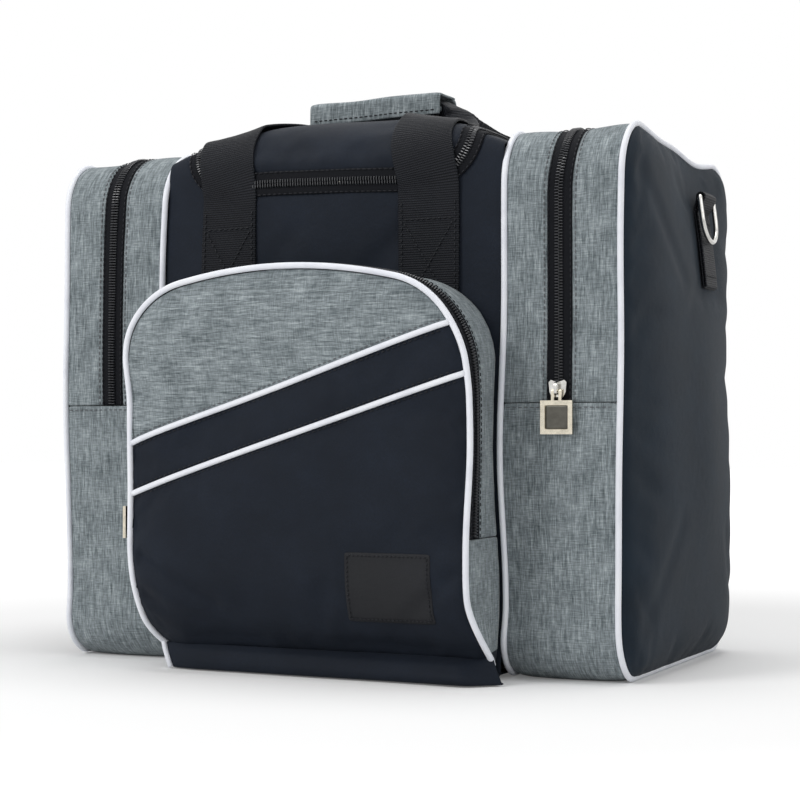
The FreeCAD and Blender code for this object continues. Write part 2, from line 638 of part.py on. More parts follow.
def free_webbing():
    """Front handle: two legs over the roof's front, joined by the folded grip."""
    hugging = compartment_outer(-HANDLE_OFFSET - WEBBING_THICK).cut(compartment_outer(-HANDLE_OFFSET))
    hugging = hugging.common(above(HANDLE_FOLD_Z + SEAM_GAP))
    pieces = [block(-GRIP_HALF_LENGTH, GRIP_HALF_LENGTH, -GRIP_GAP / 2 - GRIP_DEPTH, -GRIP_GAP / 2,
                    GRIP_Z - GRIP_HEIGHT / 2, GRIP_Z + GRIP_HEIGHT / 2)]
    for side in (-1, 1):
        pieces += [hugging.common(leg_plan(side)), leg_ramp(side)]
    return pieces[0].fuse(pieces[1:]).removeSplitter()


def grip_wrap():
    """Padded wrap round both grips: the wrap itself, and the flap that closes over its top and front."""
    half_y = GRIP_GAP / 2 + GRIP_DEPTH + WRAP_ROOM
    half_z = GRIP_HEIGHT / 2 + WRAP_ROOM

    def loop(grow, radius):
        return along_x(rounded_face([(-half_y - grow, GRIP_Z - half_z - grow, radius),
                                     (half_y + grow, GRIP_Z - half_z - grow, radius),
                                     (half_y + grow, GRIP_Z + half_z + grow, radius),
                                     (-half_y - grow, GRIP_Z + half_z + grow, radius)], yz),
                       -WRAP_LENGTH / 2, WRAP_LENGTH / 2)
    sleeve = loop(WRAP_THICK, 4.4).cut(loop(0, 0))
    top = block(-BIG, BIG, -BIG, half_y - 1.5, GRIP_Z + half_z, BIG)
    front = block(-BIG, BIG, -BIG, -half_y, GRIP_Z - half_z + 3, GRIP_Z + half_z + 0.01)
    keep = top.fuse(front)
    gap = top.fuse(block(-BIG, BIG, -BIG, -half_y, GRIP_Z - half_z + 3 - SEAM_GAP, GRIP_Z + half_z + 0.01))
    gap = gap.fuse(block(-BIG, BIG, 0, half_y - 1.5 + SEAM_GAP, GRIP_Z + half_z, BIG))
    return sleeve.cut(gap), sleeve.common(keep)


# ---- assembly --------------------------------------------------------------------------------------------------
def half_turn(shape):
    """The left pocket is the right one turned half round, so its slider is at the back."""
    return shape.copy().rotate(Vector(0, 0, 0), Vector(0, 0, 1), 180)


def mirrored_back(shape):
    return shape.mirror(Vector(0, 0, 0), Vector(0, 1, 0))


def side_nodes():
    nodes = {}
    ring, tab = ring_and_tab()
    pieces = dict(side_pocket_pieces(), strap_ring=ring, strap_ring_tab=tab)
    for name, shape in pieces.items():
        nodes["right_" + name] = shape
        nodes["left_" + name] = half_turn(shape)
    return nodes


def slider_nodes():
    """Each slider with its pull hanging down, or on the lid lying back past the lid's edge."""
    nodes = {}
    for name, (position, turn_z, lay_back, lean_y) in slider_places().items():
        slider, pull = zip_slider(-lean_y), zip_pull()
        if lay_back:
            pull = pull.mirror(pull_pin(), Vector(0, 0, 1))
        nodes[name + "_slider"] = placed(slider, position, turn_z, lay_back, lean_y)
        nodes[name + "_pull"] = placed(pull, position, turn_z, lay_back, lean_y)
    return nodes


def handle_nodes():
    sewn, free = sewn_webbing(), free_webbing()
    wrap, flap = grip_wrap()
    return {
        "front_sewn_webbing": Part.makeCompound(sewn),
        "rear_sewn_webbing": Part.makeCompound([mirrored_back(s) for s in sewn]),
        "front_handle_webbing": free,
        "rear_handle_webbing": mirrored_back(free),
        "grip_wrap": wrap,
        "grip_wrap_flap": flap,
    }


def bag_nodes():
    nodes = dict(side_nodes())
    nodes.update(ball_compartment_pieces())
    nodes.update(front_pocket_pieces())
    nodes.update(handle_nodes())
    nodes.update(slider_nodes())
    nodes.update({"base_board": base_board(), "ball_ring": ball_ring(), "label_patch": label_patch()})
    webbing = nodes["front_sewn_webbing"]
    for name in ("front_pocket_gusset", "front_pocket_zip_back_tape"):
        nodes[name] = nodes[name].cut(webbing)
    return nodes


def main():
    os.makedirs("parts", exist_ok=True)
    for name, shape in sorted(bag_nodes().items()):
        solids = shape.Solids
        shape = solids[0] if len(solids) == 1 else Part.makeCompound(solids)
        if not solids or not shape.isValid():
            raise ValueError(name + " is not a valid solid")
        shape.exportStep("parts/" + name + ".step")
        print(name, len(solids), round(shape.Volume))


main()
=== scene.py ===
import json
import math

import bmesh
import bpy
import numpy as np
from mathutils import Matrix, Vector


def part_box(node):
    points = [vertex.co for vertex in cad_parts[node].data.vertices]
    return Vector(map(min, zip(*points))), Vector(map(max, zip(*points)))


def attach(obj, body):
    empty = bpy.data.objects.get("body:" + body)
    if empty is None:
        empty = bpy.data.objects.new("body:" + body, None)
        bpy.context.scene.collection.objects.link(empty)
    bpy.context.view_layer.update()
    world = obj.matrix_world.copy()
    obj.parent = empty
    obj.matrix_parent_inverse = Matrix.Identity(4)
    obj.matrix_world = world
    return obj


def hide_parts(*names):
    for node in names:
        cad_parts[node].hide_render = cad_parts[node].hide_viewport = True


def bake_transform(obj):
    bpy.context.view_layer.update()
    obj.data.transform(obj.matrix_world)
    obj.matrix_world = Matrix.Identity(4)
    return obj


# Bowling ball tote in cloth, webbing and metal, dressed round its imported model. Metres throughout.

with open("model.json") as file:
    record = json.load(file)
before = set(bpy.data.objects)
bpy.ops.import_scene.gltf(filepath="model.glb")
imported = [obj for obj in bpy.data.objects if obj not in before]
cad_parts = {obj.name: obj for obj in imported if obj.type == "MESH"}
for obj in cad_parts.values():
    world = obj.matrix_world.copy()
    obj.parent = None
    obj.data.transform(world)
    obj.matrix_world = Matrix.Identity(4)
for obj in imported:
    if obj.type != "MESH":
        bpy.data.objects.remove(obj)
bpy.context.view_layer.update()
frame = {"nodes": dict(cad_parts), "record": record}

# ---- sizes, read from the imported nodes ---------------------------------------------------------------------
MM = 0.001


def low(node):
    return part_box(node)[0]


def high(node):
    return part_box(node)[1]


PIPING = 4 * MM
GUSSET_IN, GUSSET_OUT = low("right_pocket_lower_gusset").x, high("right_pocket_lower_gusset").x
HALF_DEPTH = high("right_pocket_lower_gusset").y
POCKET_TOP = high("right_pocket_inner_gusset").z
SEAM_Z = (high("right_pocket_lower_gusset").z + low("right_pocket_inner_gusset").z) / 2
HALF_CENTRE = GUSSET_IN - PIPING / 2
OUTER_X = GUSSET_OUT + PIPING / 2
PANEL_X = OUTER_X + PIPING / 2
PANEL_BULGE = high("right_side_panel_upper").x - PANEL_X
ZIP_X = (high("right_pocket_inner_zip_tape").x + low("right_pocket_outer_zip_tape").x) / 2
ZIP_SLIT = low("right_pocket_outer_zip_tape").x - high("right_pocket_inner_zip_tape").x
TAPE_WIDTH = high("right_pocket_outer_zip_tape").x - low("right_pocket_inner_zip_tape").x
TOP_RADIUS, FOOT_RADIUS = 36 * MM, 32 * MM

MAIN_Y = high("base_panel").y
MAIN_X = high("base_panel").x
CLOTH_X = HALF_CENTRE - 1.0 * MM      # the compartment's cloth reaches under the piping
CROWN_Z = high("lid_panel").z
ROOF_SLOPE = math.radians(10)
CROWN_RADIUS, MAIN_CORNER = 480 * MM, 32 * MM
ARCH_RISE = 30 * MM
ARCH_RADIUS = (HALF_CENTRE ** 2 + ARCH_RISE ** 2) / (2 * ARCH_RISE)
LID_TAPE_X = high("main_zip_lid_tape").x
LID_ZIP_X = LID_TAPE_X + ZIP_SLIT / 2
LID_ZIP_Z = low("main_zip_lid_tape").z - ZIP_SLIT / 2
LID_ZIP_RADIUS = 24 * MM
LID_CORNER_Z, LID_STRAIGHT = LID_ZIP_Z + LID_ZIP_RADIUS, LID_ZIP_X - LID_ZIP_RADIUS
LID_BACK_Y = high("lid_panel").y
LID_ZIP_END_Y = high("main_zip_body_tape").y

FRONT_X = high("front_pocket_gusset").x
FRONT_Y = low("front_pocket_grey_panel").y
FRONT_TOP = high("front_pocket_gusset").z
FRONT_FOOT = 5 * MM
FRONT_FOLD_Z = (high("front_pocket_lower_panel").z + low("front_pocket_black_panel").z) / 2
FRONT_SLOPE = math.radians(12)    # the filled pocket stands a little fuller at its shoulders than its solid
FRONT_CROWN, FRONT_SHOULDER = 340 * MM, 58 * MM
FRONT_FOOT_LEFT, FRONT_FOOT_RIGHT = 32 * MM, 12 * MM    # radii of its lower corners
FRONT_KNEE_Z, FRONT_KNEE_RADIUS = 34 * MM, 70 * MM
FRONT_FOOT_Y = -MAIN_Y - 6 * MM
FRONT_EDGE = 2.5 * MM    # the face's cloth inside the outline

WEB_FOOT_Z, WEB_FOLD_Z = low("front_sewn_webbing").z, high("front_sewn_webbing").z
LEG_WIDTH = 42 * MM
LEG_X = high("front_sewn_webbing").x - LEG_WIDTH / 2
GRIP_Z = (low("grip_wrap").z + high("grip_wrap_flap").z) / 2

CLOTH_THICK = 1.6 * MM
PIPING_IN = 2.5 * MM      # the piping's inner edge, inside the cloth's outer face
TAPE_RISE = 0.6 * MM
EDGE_CORD, SEAM_CORD = 2.05 * MM, 1.9 * MM       # radii of piping round an edge and on a seam
COIL_IN, COIL_RISE, SEAM_RISE = 2.3 * MM, 1.1 * MM, 1.15 * MM
COIL_PHASE = {-1: 0.5, 1: 1.0}    # the teeth of one zip half fall between the other's
STITCH_THICK = 0.55 * MM
HEM = 0.9 * MM            # a row of stitches inside a tape's outer edge
TUCK = 2.5 * MM           # how far cloth runs on under a zip's tape
MIDDLE_Z = 0.178          # half way up the side pockets
BAG_MIDDLE = (0, 0, 0.18)

rng = np.random.default_rng(11)


# ---- vectors, paths and noise ------------------------------------------------------------------------------
def arr(*values):
    return np.array(values, float)


def unit(v):
    v = np.asarray(v, float)
    return v / np.maximum(np.linalg.norm(v, axis=-1, keepdims=True), 1e-12)


def ramp(value, start, end):
    t = np.clip((np.asarray(value, float) - start) / (end - start), 0, 1)
    return t * t * (3 - 2 * t)


def hump(value, middle, width):
    return np.exp(-(((np.asarray(value, float) - middle) / width) ** 2))


def resampled(points, step=None, count=None):
    """Evenly spaced points along a polyline, and their distance along it."""
    points = np.asarray(points, float)
    gaps = np.linalg.norm(np.diff(points, axis=0), axis=1)
    along = np.concatenate([[0], np.cumsum(gaps)])
    keep = np.concatenate([[True], gaps > 1e-9])
    points, along = points[keep], along[keep]
    count = count or max(2, int(round(along[-1] / step)) + 1)
    s = np.linspace(0, along[-1], count)
    return np.stack([np.interp(s, along, points[:, k]) for k in range(points.shape[1])], 1), s


def filleted(corners, arc_points=24):
    """Polyline through (u, v, radius) corners with round corners; the first and last stay sharp."""
    out = [arr(*corners[0][:2])]
    for last, (u, v, radius), following in zip(corners, corners[1:], corners[2:]):
        corner = arr(u, v)
        if radius <= 0:
            out.append(corner)
            continue
        a, b = unit(arr(*last[:2]) - corner), unit(arr(*following[:2]) - corner)
        half = math.acos(np.clip(a @ b, -1, 1)) / 2
        centre = corner + unit(a + b) * radius / math.sin(half)
        start, end = corner + a * radius / math.tan(half), corner + b * radius / math.tan(half)
        a0, a1 = [math.atan2(*(p - centre)[::-1]) for p in (start, end)]
        turn = (a1 - a0 + math.pi) % (2 * math.pi) - math.pi
        for k in range(arc_points + 1):
            angle = a0 + turn * k / arc_points
            out.append(centre + radius * arr(math.cos(angle), math.sin(angle)))
    out.append(arr(*corners[-1][:2]))
    return np.array(out)


WAVES = unit(rng.normal(size=(36, 3)))
PHASES = rng.uniform(0, 2 * math.pi, 36)


def waves(points, size, seed=0):
    """Smooth noise of about -1 to 1 over points, with lumps of about the given size."""
    points = np.asarray(points, float)
    total = np.zeros(points.shape[:-1])
    for k in range(12):
        i = (k + 12 * seed) % 36
        scale = 2 * math.pi / size * (0.55 + 0.09 * k)
        total += np.sin(points @ WAVES[i] * scale + PHASES[(i * 7 + seed) % 36] + seed)
    return total / 3.4


def fold(points, start, end, width, depth, taper=0.25):
    """A crease along a segment: depth at its middle line, with a soft ridge on each side."""
    start, end = arr(*start), arr(*end)
    axis = end - start
    t = (points - start) @ axis / (axis @ axis)
    gap = np.linalg.norm(points - (start + np.clip(t, 0, 1)[..., None] * axis), axis=-1)
    along = np.clip(np.minimum(t + taper, 1 + taper - t) / taper, 0, 1)
    x = gap / width
    return depth * (1 - 1.1 * x ** 2) * np.exp(-x ** 2) * along * along * (3 - 2 * along)


SLIDES = {j["child"]: j for j in frame["record"]["behaviour"]["joints"] if j["type"] == "slide"}


def hardware_run(node):
    """Middle of a metal piece, and how far its joint carries it."""
    middle = np.array((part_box(node)[0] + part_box(node)[1]) / 2)
    joint = SLIDES.get(node)
    return middle, np.array(joint["axis"]) * joint["range_m"][1] if joint else np.zeros(3)


HARDWARE = [hardware_run(n) for n in ("right_pocket_slider", "left_pocket_slider", "front_pocket_slider",
                                      "main_slider", "right_strap_ring", "left_strap_ring")]
STILL_NEAR, STILL_RUN = 26 * MM, 15 * MM     # round a metal piece at rest, and along its slider's way


def slack(points):
    """How far the soft bag has settled at points of its cloth; nothing next to the metal."""
    p = np.asarray(points, float)
    x, y, z = p[..., 0], p[..., 1], p[..., 2]
    side = np.sign(x)
    outer = ramp(np.abs(x), HALF_CENTRE, HALF_CENTRE + 15 * MM)
    top = ramp(z, 0.24, 0.35)
    move = np.zeros(p.shape)
    stand = ramp(z, 0.0, 0.05)
    move[..., 0] += 1.6 * MM * waves(p, 0.19, 1) * stand
    move[..., 1] += 1.3 * MM * waves(p, 0.17, 2) * stand
    move[..., 2] += 1.1 * MM * waves(p, 0.16, 3) * top
    back = y * side
    move[..., 2] -= 6.5 * MM * hump(back, 0.052, 0.036) * top * outer * ramp(np.abs(x), 0.15, 0.2)
    move[..., 2] -= 1.5 * MM * hump(np.abs(x), 0.186, 0.02) * top * outer
    front_left = outer * ramp(-x, 0.1, 0.13) * ramp(-y, 0.02, 0.11)
    move[..., 0] -= 3.0 * MM * front_left * hump(z, 0.2, 0.06)
    move[..., 0] -= 1.5 * MM * front_left * hump(z, 0.09, 0.05)
    move[..., 2] -= 2.2 * MM * hump(x, -0.088, 0.03) * ramp(-y, 0.02, 0.08) * top
    move[..., 2] += 4.5 * MM * ramp(x, 0.15, 0.2) * ramp(-y, 0.01, 0.09) * top
    keep = np.ones(p.shape[:-1])
    for centre, run in HARDWARE:
        gap = np.linalg.norm(p - centre, axis=-1)
        keep *= 1 - np.exp(-(gap / STILL_NEAR) ** 2)
        if run.any():
            t = np.clip((p - centre) @ run / (run @ run), 0, 1)
            gap = np.linalg.norm(p - centre - t[..., None] * run, axis=-1)
            keep *= 1 - np.exp(-(gap / STILL_RUN) ** 2)
    return move * keep[..., None]


# ---- meshes ------------------------------------------------------------------------------------------------
def grid_faces(rows, cols, wrap_rows=False, wrap_cols=False):
    faces, corners = [], []
    for i in range(rows if wrap_rows else rows - 1):
        for j in range(cols if wrap_cols else cols - 1):
            i1, j1 = (i + 1) % rows, (j + 1) % cols
            faces.append((i * cols + j, i1 * cols + j, i1 * cols + j1, i * cols + j1))
            corners.append(((i, j), (i + 1, j), (i + 1, j + 1), (i, j + 1)))
    return faces, corners


def piece(name, verts, faces, uvs, smooth=True):
    """A new object; uvs has one (u, v) per face corner, in metres on the cloth."""
    mesh = bpy.data.meshes.new(name)
    mesh.from_pydata([tuple(v) for v in verts], [], faces)
    flat = np.array([uv for face in uvs for uv in face], np.float32).ravel()
    mesh.uv_layers.new(name="UVMap").data.foreach_set("uv", flat)
    mesh.polygons.foreach_set("use_smooth", [smooth] * len(mesh.polygons))
    mesh.update()
    obj = bpy.data.objects.new(name, mesh)
    bpy.context.scene.collection.objects.link(obj)
    return obj


def grid_part(points, uv, wrap_rows=False, wrap_cols=False):
    """Points, faces and corner UVs of a grid; uv is a grid of the same kind, one longer where it wraps."""
    rows, cols = points.shape[:2]
    faces, corners = grid_faces(rows, cols, wrap_rows, wrap_cols)
    return list(points.reshape(-1, 3)), faces, [[tuple(uv[i][j]) for i, j in face] for face in corners]


def grid_piece(name, points, uv, wrap_rows=False, wrap_cols=False):
    return piece(name, *grid_part(np.asarray(points, float), uv, wrap_rows, wrap_cols))


def joined(name, parts):
    """Several (points, faces, uvs) lists as one object."""
    verts, faces, uvs = [], [], []
    for points, some_faces, some_uvs in parts:
        base = len(verts)
        verts.extend(points)
        faces.extend([tuple(base + k for k in f) for f in some_faces])
        uvs.extend(some_uvs)
    return piece(name, verts, faces, uvs)


def face_out(obj, centre=BAG_MIDDLE):
    """Turns all faces so that they look away from a point on average."""
    mesh = obj.data
    normals, middles = np.zeros((2, len(mesh.polygons) * 3))
    mesh.polygons.foreach_get("normal", normals)
    mesh.polygons.foreach_get("center", middles)
    away = middles.reshape(-1, 3) - np.array(centre)
    if (normals.reshape(-1, 3) * unit(away)).sum() < 0:
        mesh.flip_normals()
        mesh.update()
    return obj


def edited(obj, change):
    bm = bmesh.new()
    bm.from_mesh(obj.data)
    change(bm)
    bm.to_mesh(obj.data)
    bm.free()
    return obj


def weld(obj, gap):
    return edited(obj, lambda bm: bmesh.ops.remove_doubles(bm, verts=bm.verts, dist=gap))


def clean(obj):
    return edited(obj, lambda bm: bmesh.ops.recalc_face_normals(bm, faces=bm.faces))


def moved(points, settle=True):
    points = np.asarray(points, float)
    return points + slack(points) if settle else points


def ribbon(centres, across, out, half_width, half_thick, section=20, power=5.0, closed=False):
    """Grid round a flat or round strip: its centres, unit directions and half sizes along its length."""
    centres, across, out = [np.asarray(v, float) for v in (centres, across, out)]
    n = len(centres)
    half_width = np.broadcast_to(half_width, n)
    half_thick = np.broadcast_to(half_thick, n)
    angles = np.linspace(0, 2 * math.pi, section, endpoint=False) + math.pi / section
    c, s = np.cos(angles), np.sin(angles)
    pw = 2.0 / power
    a, b = np.sign(c) * np.abs(c) ** pw, np.sign(s) * np.abs(s) ** pw
    points = (centres[:, None] + across[:, None] * (half_width[:, None, None] * a[None, :, None])
              + out[:, None] * (half_thick[:, None, None] * b[None, :, None]))
    along = np.concatenate([[0], np.cumsum(np.linalg.norm(np.diff(centres, axis=0), axis=1))])
    rows = n + 1 if closed else n
    v = along if not closed else np.append(along, along[-1] + np.linalg.norm(centres[0] - centres[-1]))
    a_wrap = np.append(a, a[0])
    uv = [[(a_wrap[j] * half_width[i % n], v[i]) for j in range(section + 1)] for i in range(rows)]
    return points, uv


def strip_part(points, uv, closed=False):
    """Points, faces and corner UVs of a ribbon's grid, with caps at its ends unless it is closed."""
    rows, cols = points.shape[:2]
    verts, faces, uvs = grid_part(points, uv, closed, True)
    if not closed:
        faces += [tuple(range(cols)), tuple((rows - 1) * cols + k for k in reversed(range(cols)))]
        uvs += [[uv[0][k] for k in range(cols)], [uv[-1][k] for k in reversed(range(cols))]]
    return verts, faces, uvs


def frames_of(points, out):
    """Sideways and outward unit vectors along a path, from rough outward directions."""
    tangent = unit(np.gradient(points, axis=0))
    side = unit(np.cross(tangent, out))
    return side, unit(np.cross(side, tangent))


def tube(name, points, radius, closed=False, section=12, settle=True, facing=None):
    """Round cord or wire along a path; facing is the side that its cross-section starts from."""
    points = np.asarray(points, float)
    tangent = unit(np.roll(points, -1, 0) - np.roll(points, 1, 0) if closed else np.gradient(points, axis=0))
    out = points - points.mean(0) if facing is None else np.zeros_like(points) + np.array(facing, float)
    out -= (out * tangent).sum(1, keepdims=True) * tangent
    side = unit(np.cross(tangent, out))
    out = unit(np.cross(side, tangent))
    grid, uv = ribbon(points, side, out, radius, radius, section, 2.0, closed)
    return clean(piece(name, *strip_part(moved(grid, settle), uv, closed)))


def put(obj, materials, slot, where, *nodes):
    """Dresses a piece, hides the imported nodes it stands for, and joins it to one body; given (body, body, start,
    end), it only has its transform put into its mesh.
    """
    dress(obj, *(materials if isinstance(materials, tuple) else (materials,)))
    if nodes:
        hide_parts(*nodes)
    if isinstance(where, str):
        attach(obj, where)
    else:
        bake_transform(obj)


def dress(obj, *materials):
    obj.data.materials.clear()
    for material in materials:
        obj.data.materials.append(material)
    return obj


# ---- finishes ----------------------------------------------------------------------------------------------
class Nodes:
    """A material's node tree, with short calls for what the finishes below share."""

    def __init__(self, name, colour, roughness, metallic=0.0, specular=0.5, sheen=0.0, sheen_roughness=0.4):
        self.material = bpy.data.materials.new(name)
        self.material.use_nodes = True
        self.tree = self.material.node_tree
        self.shader = self.tree.nodes["Principled BSDF"]
        for key, value in (("Base Color", (*colour, 1)), ("Roughness", roughness), ("Metallic", metallic),
                           ("Specular IOR Level", specular), ("Sheen Weight", sheen),
                           ("Sheen Roughness", sheen_roughness)):
            self.shader.inputs[key].default_value = value
        self.coords = self.tree.nodes.new("ShaderNodeTexCoord")

    def node(self, kind, **values):
        made = self.tree.nodes.new("ShaderNode" + kind)
        for key, value in values.items():
            if key in made.inputs:
                made.inputs[key].default_value = value
            else:
                setattr(made, key, value)
        return made

    def link(self, source, target):
        self.tree.links.new(source, target)

    def place(self, scale=(1, 1, 1), space="UV", turn=0.0):
        mapping = self.node("Mapping", Scale=scale, Rotation=(0, 0, turn))
        self.link(self.coords.outputs[space], mapping.inputs["Vector"])
        return mapping.outputs["Vector"]

    def noise(self, scale, detail=2.0, rough=0.5, stretch=(1, 1, 1), space="UV", turn=0.0):
        made = self.node("TexNoise", Scale=scale, Detail=detail, Roughness=rough)
        self.link(self.place(stretch, space, turn), made.inputs["Vector"])
        return made.outputs["Fac"]

    def bands(self, pitch, axis, turn=0.0):
        """A wave of 0 to 1 repeating every pitch metres along one axis of the cloth."""
        made = self.node("TexWave", wave_type="BANDS", bands_direction=axis, wave_profile="SIN",
                         Scale=2 * math.pi / 20 / pitch)
        self.link(self.place(turn=turn), made.inputs["Vector"])
        return made.outputs["Fac"]

    def weave(self, pitch):
        return self.math("MULTIPLY", self.bands(pitch, "X"), self.bands(pitch, "Y"))

    def total(self, *shares):
        """Sum of (factor, share) pairs."""
        parts = [self.math("MULTIPLY", factor, share) for factor, share in shares]
        found = parts[0]
        for part in parts[1:]:
            found = self.math("ADD", found, part)
        return found

    def math(self, operation, a, b):
        made = self.node("Math", operation=operation)
        for k, value in enumerate((a, b)):
            if isinstance(value, (int, float)):
                made.inputs[k].default_value = value
            else:
                self.link(value, made.inputs[k])
        return made.outputs[0]

    def colour(self, factor, stops):
        """Base colour from a factor and its (position, colour) stops."""
        made = self.node("ValToRGB")
        elements = made.color_ramp.elements
        while len(elements) < len(stops):
            elements.new(0.5)
        for element, (position, colour) in zip(elements, stops):
            element.position, element.color = position, (*colour, 1)
        self.link(factor, made.inputs["Fac"])
        self.link(made.outputs["Color"], self.shader.inputs["Base Color"])

    def roughness(self, factor, start, end):
        made = self.node("MapRange", **{"To Min": start, "To Max": end})
        self.link(factor, made.inputs["Value"])
        self.link(made.outputs[0], self.shader.inputs["Roughness"])

    def bump(self, *layers):
        """Stacks (height, depth in metres) layers of bump."""
        normal = None
        for height, depth in layers:
            made = self.node("Bump", Distance=depth, Strength=1.0)
            self.link(height, made.inputs["Height"])
            if normal is not None:
                self.link(normal, made.inputs["Normal"])
            normal = made.outputs["Normal"]
        self.link(normal, self.shader.inputs["Normal"])


def heather_finish(name, along=0.42, across=0.38):
    """Grey melange: pale and dark yarns streaked along and across the cloth."""
    n = Nodes(name, (0.27, 0.3, 0.31), 0.85, specular=0.25, sheen=0.15)
    warp = n.noise(1.0, 3.0, 0.66, (1250, 120, 1))
    weft = n.noise(1.0, 3.0, 0.66, (120, 1250, 1))
    slub = n.noise(1.0, 2.0, 0.5, (520, 40, 1) if along > across else (40, 520, 1))
    cloud = n.noise(55, 3.0, 0.55)
    mix = n.total((warp, along), (weft, across), (slub, 0.26), (cloud, 0.18))
    n.colour(mix, [(0.45, (0.062, 0.078, 0.084)), (0.57, (0.165, 0.195, 0.208)), (0.66, (0.28, 0.32, 0.337)),
                   (0.8, (0.52, 0.575, 0.6))])
    n.bump((mix, 0.5 * MM), (n.weave(0.9 * MM), 0.16 * MM))
    return n.material


def cloth_finish(name, colour, pitch=0.65, sheen=0.25, specular=0.35, roughness=0.62):
    """Close plain weave of black yarn, with a faint change of tone over the panel."""
    n = Nodes(name, colour, roughness, specular=specular, sheen=sheen, sheen_roughness=0.45)
    tone = n.noise(22, 3.0, 0.6)
    fleck = n.noise(1.0, 2.0, 0.6, (700, 500, 1))
    dark, pale = [tuple(share * c for c in colour) for share in (0.72, 1.45)]
    n.colour(n.total((tone, 0.55), (fleck, 0.45)), [(0.32, dark), (0.52, colour), (0.72, pale)])
    n.bump((n.noise(140, 4.0, 0.6), 0.35 * MM), (n.weave(pitch * MM), 0.12 * MM), (fleck, 0.08 * MM))
    n.roughness(fleck, roughness - 0.08, roughness + 0.14)
    return n.material


def webbing_finish(name):
    """Nylon webbing: raised cross ribs with fine twill between its two bound edges."""
    n = Nodes(name, (0.009, 0.0105, 0.0145), 0.55, specular=0.12, sheen=0.01)
    ribs = n.bands(1.55 * MM, "Y")
    twill = n.bands(1.15 * MM, "X", turn=0.35)
    grain = n.math("MULTIPLY", ribs, n.math("ADD", n.math("MULTIPLY", twill, 0.6), 0.4))
    fibre = n.noise(1.0, 2.0, 0.6, (2400, 500, 1))
    worn = n.noise(30, 3.0, 0.6)
    n.colour(n.total((grain, 0.62), (fibre, 0.2), (worn, 0.2)),
             [(0.12, (0.002, 0.0024, 0.0034)), (0.4, (0.0068, 0.0078, 0.0108)), (0.85, (0.03, 0.033, 0.041))])
    n.bump((grain, 0.42 * MM), (fibre, 0.08 * MM))
    n.roughness(fibre, 0.36, 0.6)
    return n.material


def piping_finish(name):
    n = Nodes(name, (0.84, 0.86, 0.93), 0.5, specular=0.45, sheen=0.2)
    grime = n.noise(38, 4.0, 0.6, space="Object")
    n.colour(grime, [(0.25, (0.78, 0.8, 0.87)), (0.5, (0.9, 0.92, 0.98)), (0.8, (0.95, 0.97, 1.0))])
    strands = n.bands(0.8 * MM, "Y")
    n.bump((n.noise(220, 3.0, 0.55, space="Object"), 0.22 * MM), (strands, 0.06 * MM))
    return n.material


def tape_finish(name):
    """Zip tape: narrow herringbone of black yarn."""
    n = Nodes(name, (0.01, 0.011, 0.014), 0.75, specular=0.14, sheen=0.01)
    herring = n.math("MULTIPLY", n.bands(1.1 * MM, "X", 0.7), n.bands(1.1 * MM, "X", -0.7))
    fibre = n.noise(1.0, 2.0, 0.6, (900, 900, 1))
    n.colour(n.total((herring, 0.5), (fibre, 0.5)),
             [(0.2, (0.003, 0.0034, 0.0048)), (0.75, (0.0115, 0.013, 0.0175))])
    n.bump((herring, 0.2 * MM), (fibre, 0.08 * MM))
    return n.material


def coil_finish(name):
    n = Nodes(name, (0.03, 0.032, 0.036), 0.28, specular=0.7)
    wear = n.noise(400, 2.0, 0.5, space="Object")
    n.colour(wear, [(0.3, (0.012, 0.013, 0.016)), (0.7, (0.035, 0.037, 0.043))])
    n.bump((wear, 0.05 * MM))
    return n.material


def metal_finish(name, colour, roughness):
    """Plated casting with a faint orange peel and small rubbed marks."""
    n = Nodes(name, colour, roughness, metallic=1.0)
    rubbed = n.noise(260, 4.0, 0.65, space="Object")
    n.colour(rubbed, [(0.3, tuple(0.78 * c for c in colour)), (0.6, colour)])
    scratch = n.noise(1.0, 2.0, 0.6, (120, 2600, 900), space="Object")
    n.roughness(n.total((rubbed, 0.6), (scratch, 0.4)), roughness * 0.6, roughness * 1.6)
    n.bump((n.noise(900, 2.0, 0.5, space="Object"), 0.03 * MM))
    return n.material


def foam_finish(name):
    n = Nodes(name, (0.09, 0.09, 0.1), 0.95, specular=0.15)
    cells = n.node("TexVoronoi", Scale=900.0)
    n.link(n.place(space="Object"), cells.inputs["Vector"])
    n.colour(cells.outputs["Distance"], [(0.1, (0.05,) * 3), (0.6, (0.11,) * 3)])
    n.bump((cells.outputs["Distance"], 0.5 * MM), (n.noise(90, 3.0, 0.5, space="Object"), 0.6 * MM))
    return n.material


def board_finish(name):
    n = Nodes(name, (0.05, 0.05, 0.055), 0.55)
    pebble = n.noise(900, 3.0, 0.6, space="Object")
    n.colour(pebble, [(0.3, (0.035,) * 3), (0.7, (0.065,) * 3)])
    n.bump((pebble, 0.25 * MM))
    return n.material


HEATHER = heather_finish("heather", 0.46, 0.34)
HEATHER_FRONT = heather_finish("heather_crossways", 0.3, 0.5)
BLACK = cloth_finish("black_polyester", (0.0085, 0.0125, 0.021), sheen=0.02, specular=0.16)
PANEL_BLACK = cloth_finish("black_side_cloth", (0.0068, 0.0145, 0.0245), sheen=0.06,
                           specular=0.2, roughness=0.68)
LINING = cloth_finish("lining", (0.045, 0.045, 0.05), 0.5, sheen=0.3)
PATCH = cloth_finish("woven_patch", (0.0075, 0.0085, 0.0115), 0.4, sheen=0.02, specular=0.3, roughness=0.5)
WEB = webbing_finish("webbing")
WHITE = piping_finish("piping")
TAPE = tape_finish("zip_tape")
COIL = coil_finish("zip_coil")
THREAD = cloth_finish("black_thread", (0.011, 0.012, 0.016), 0.3, sheen=0.02, specular=0.25, roughness=0.5)
GREY_THREAD = cloth_finish("grey_thread", (0.13, 0.14, 0.15), 0.3, sheen=0.05, roughness=0.6)
NICKEL = metal_finish("nickel", (0.74, 0.73, 0.7), 0.16)
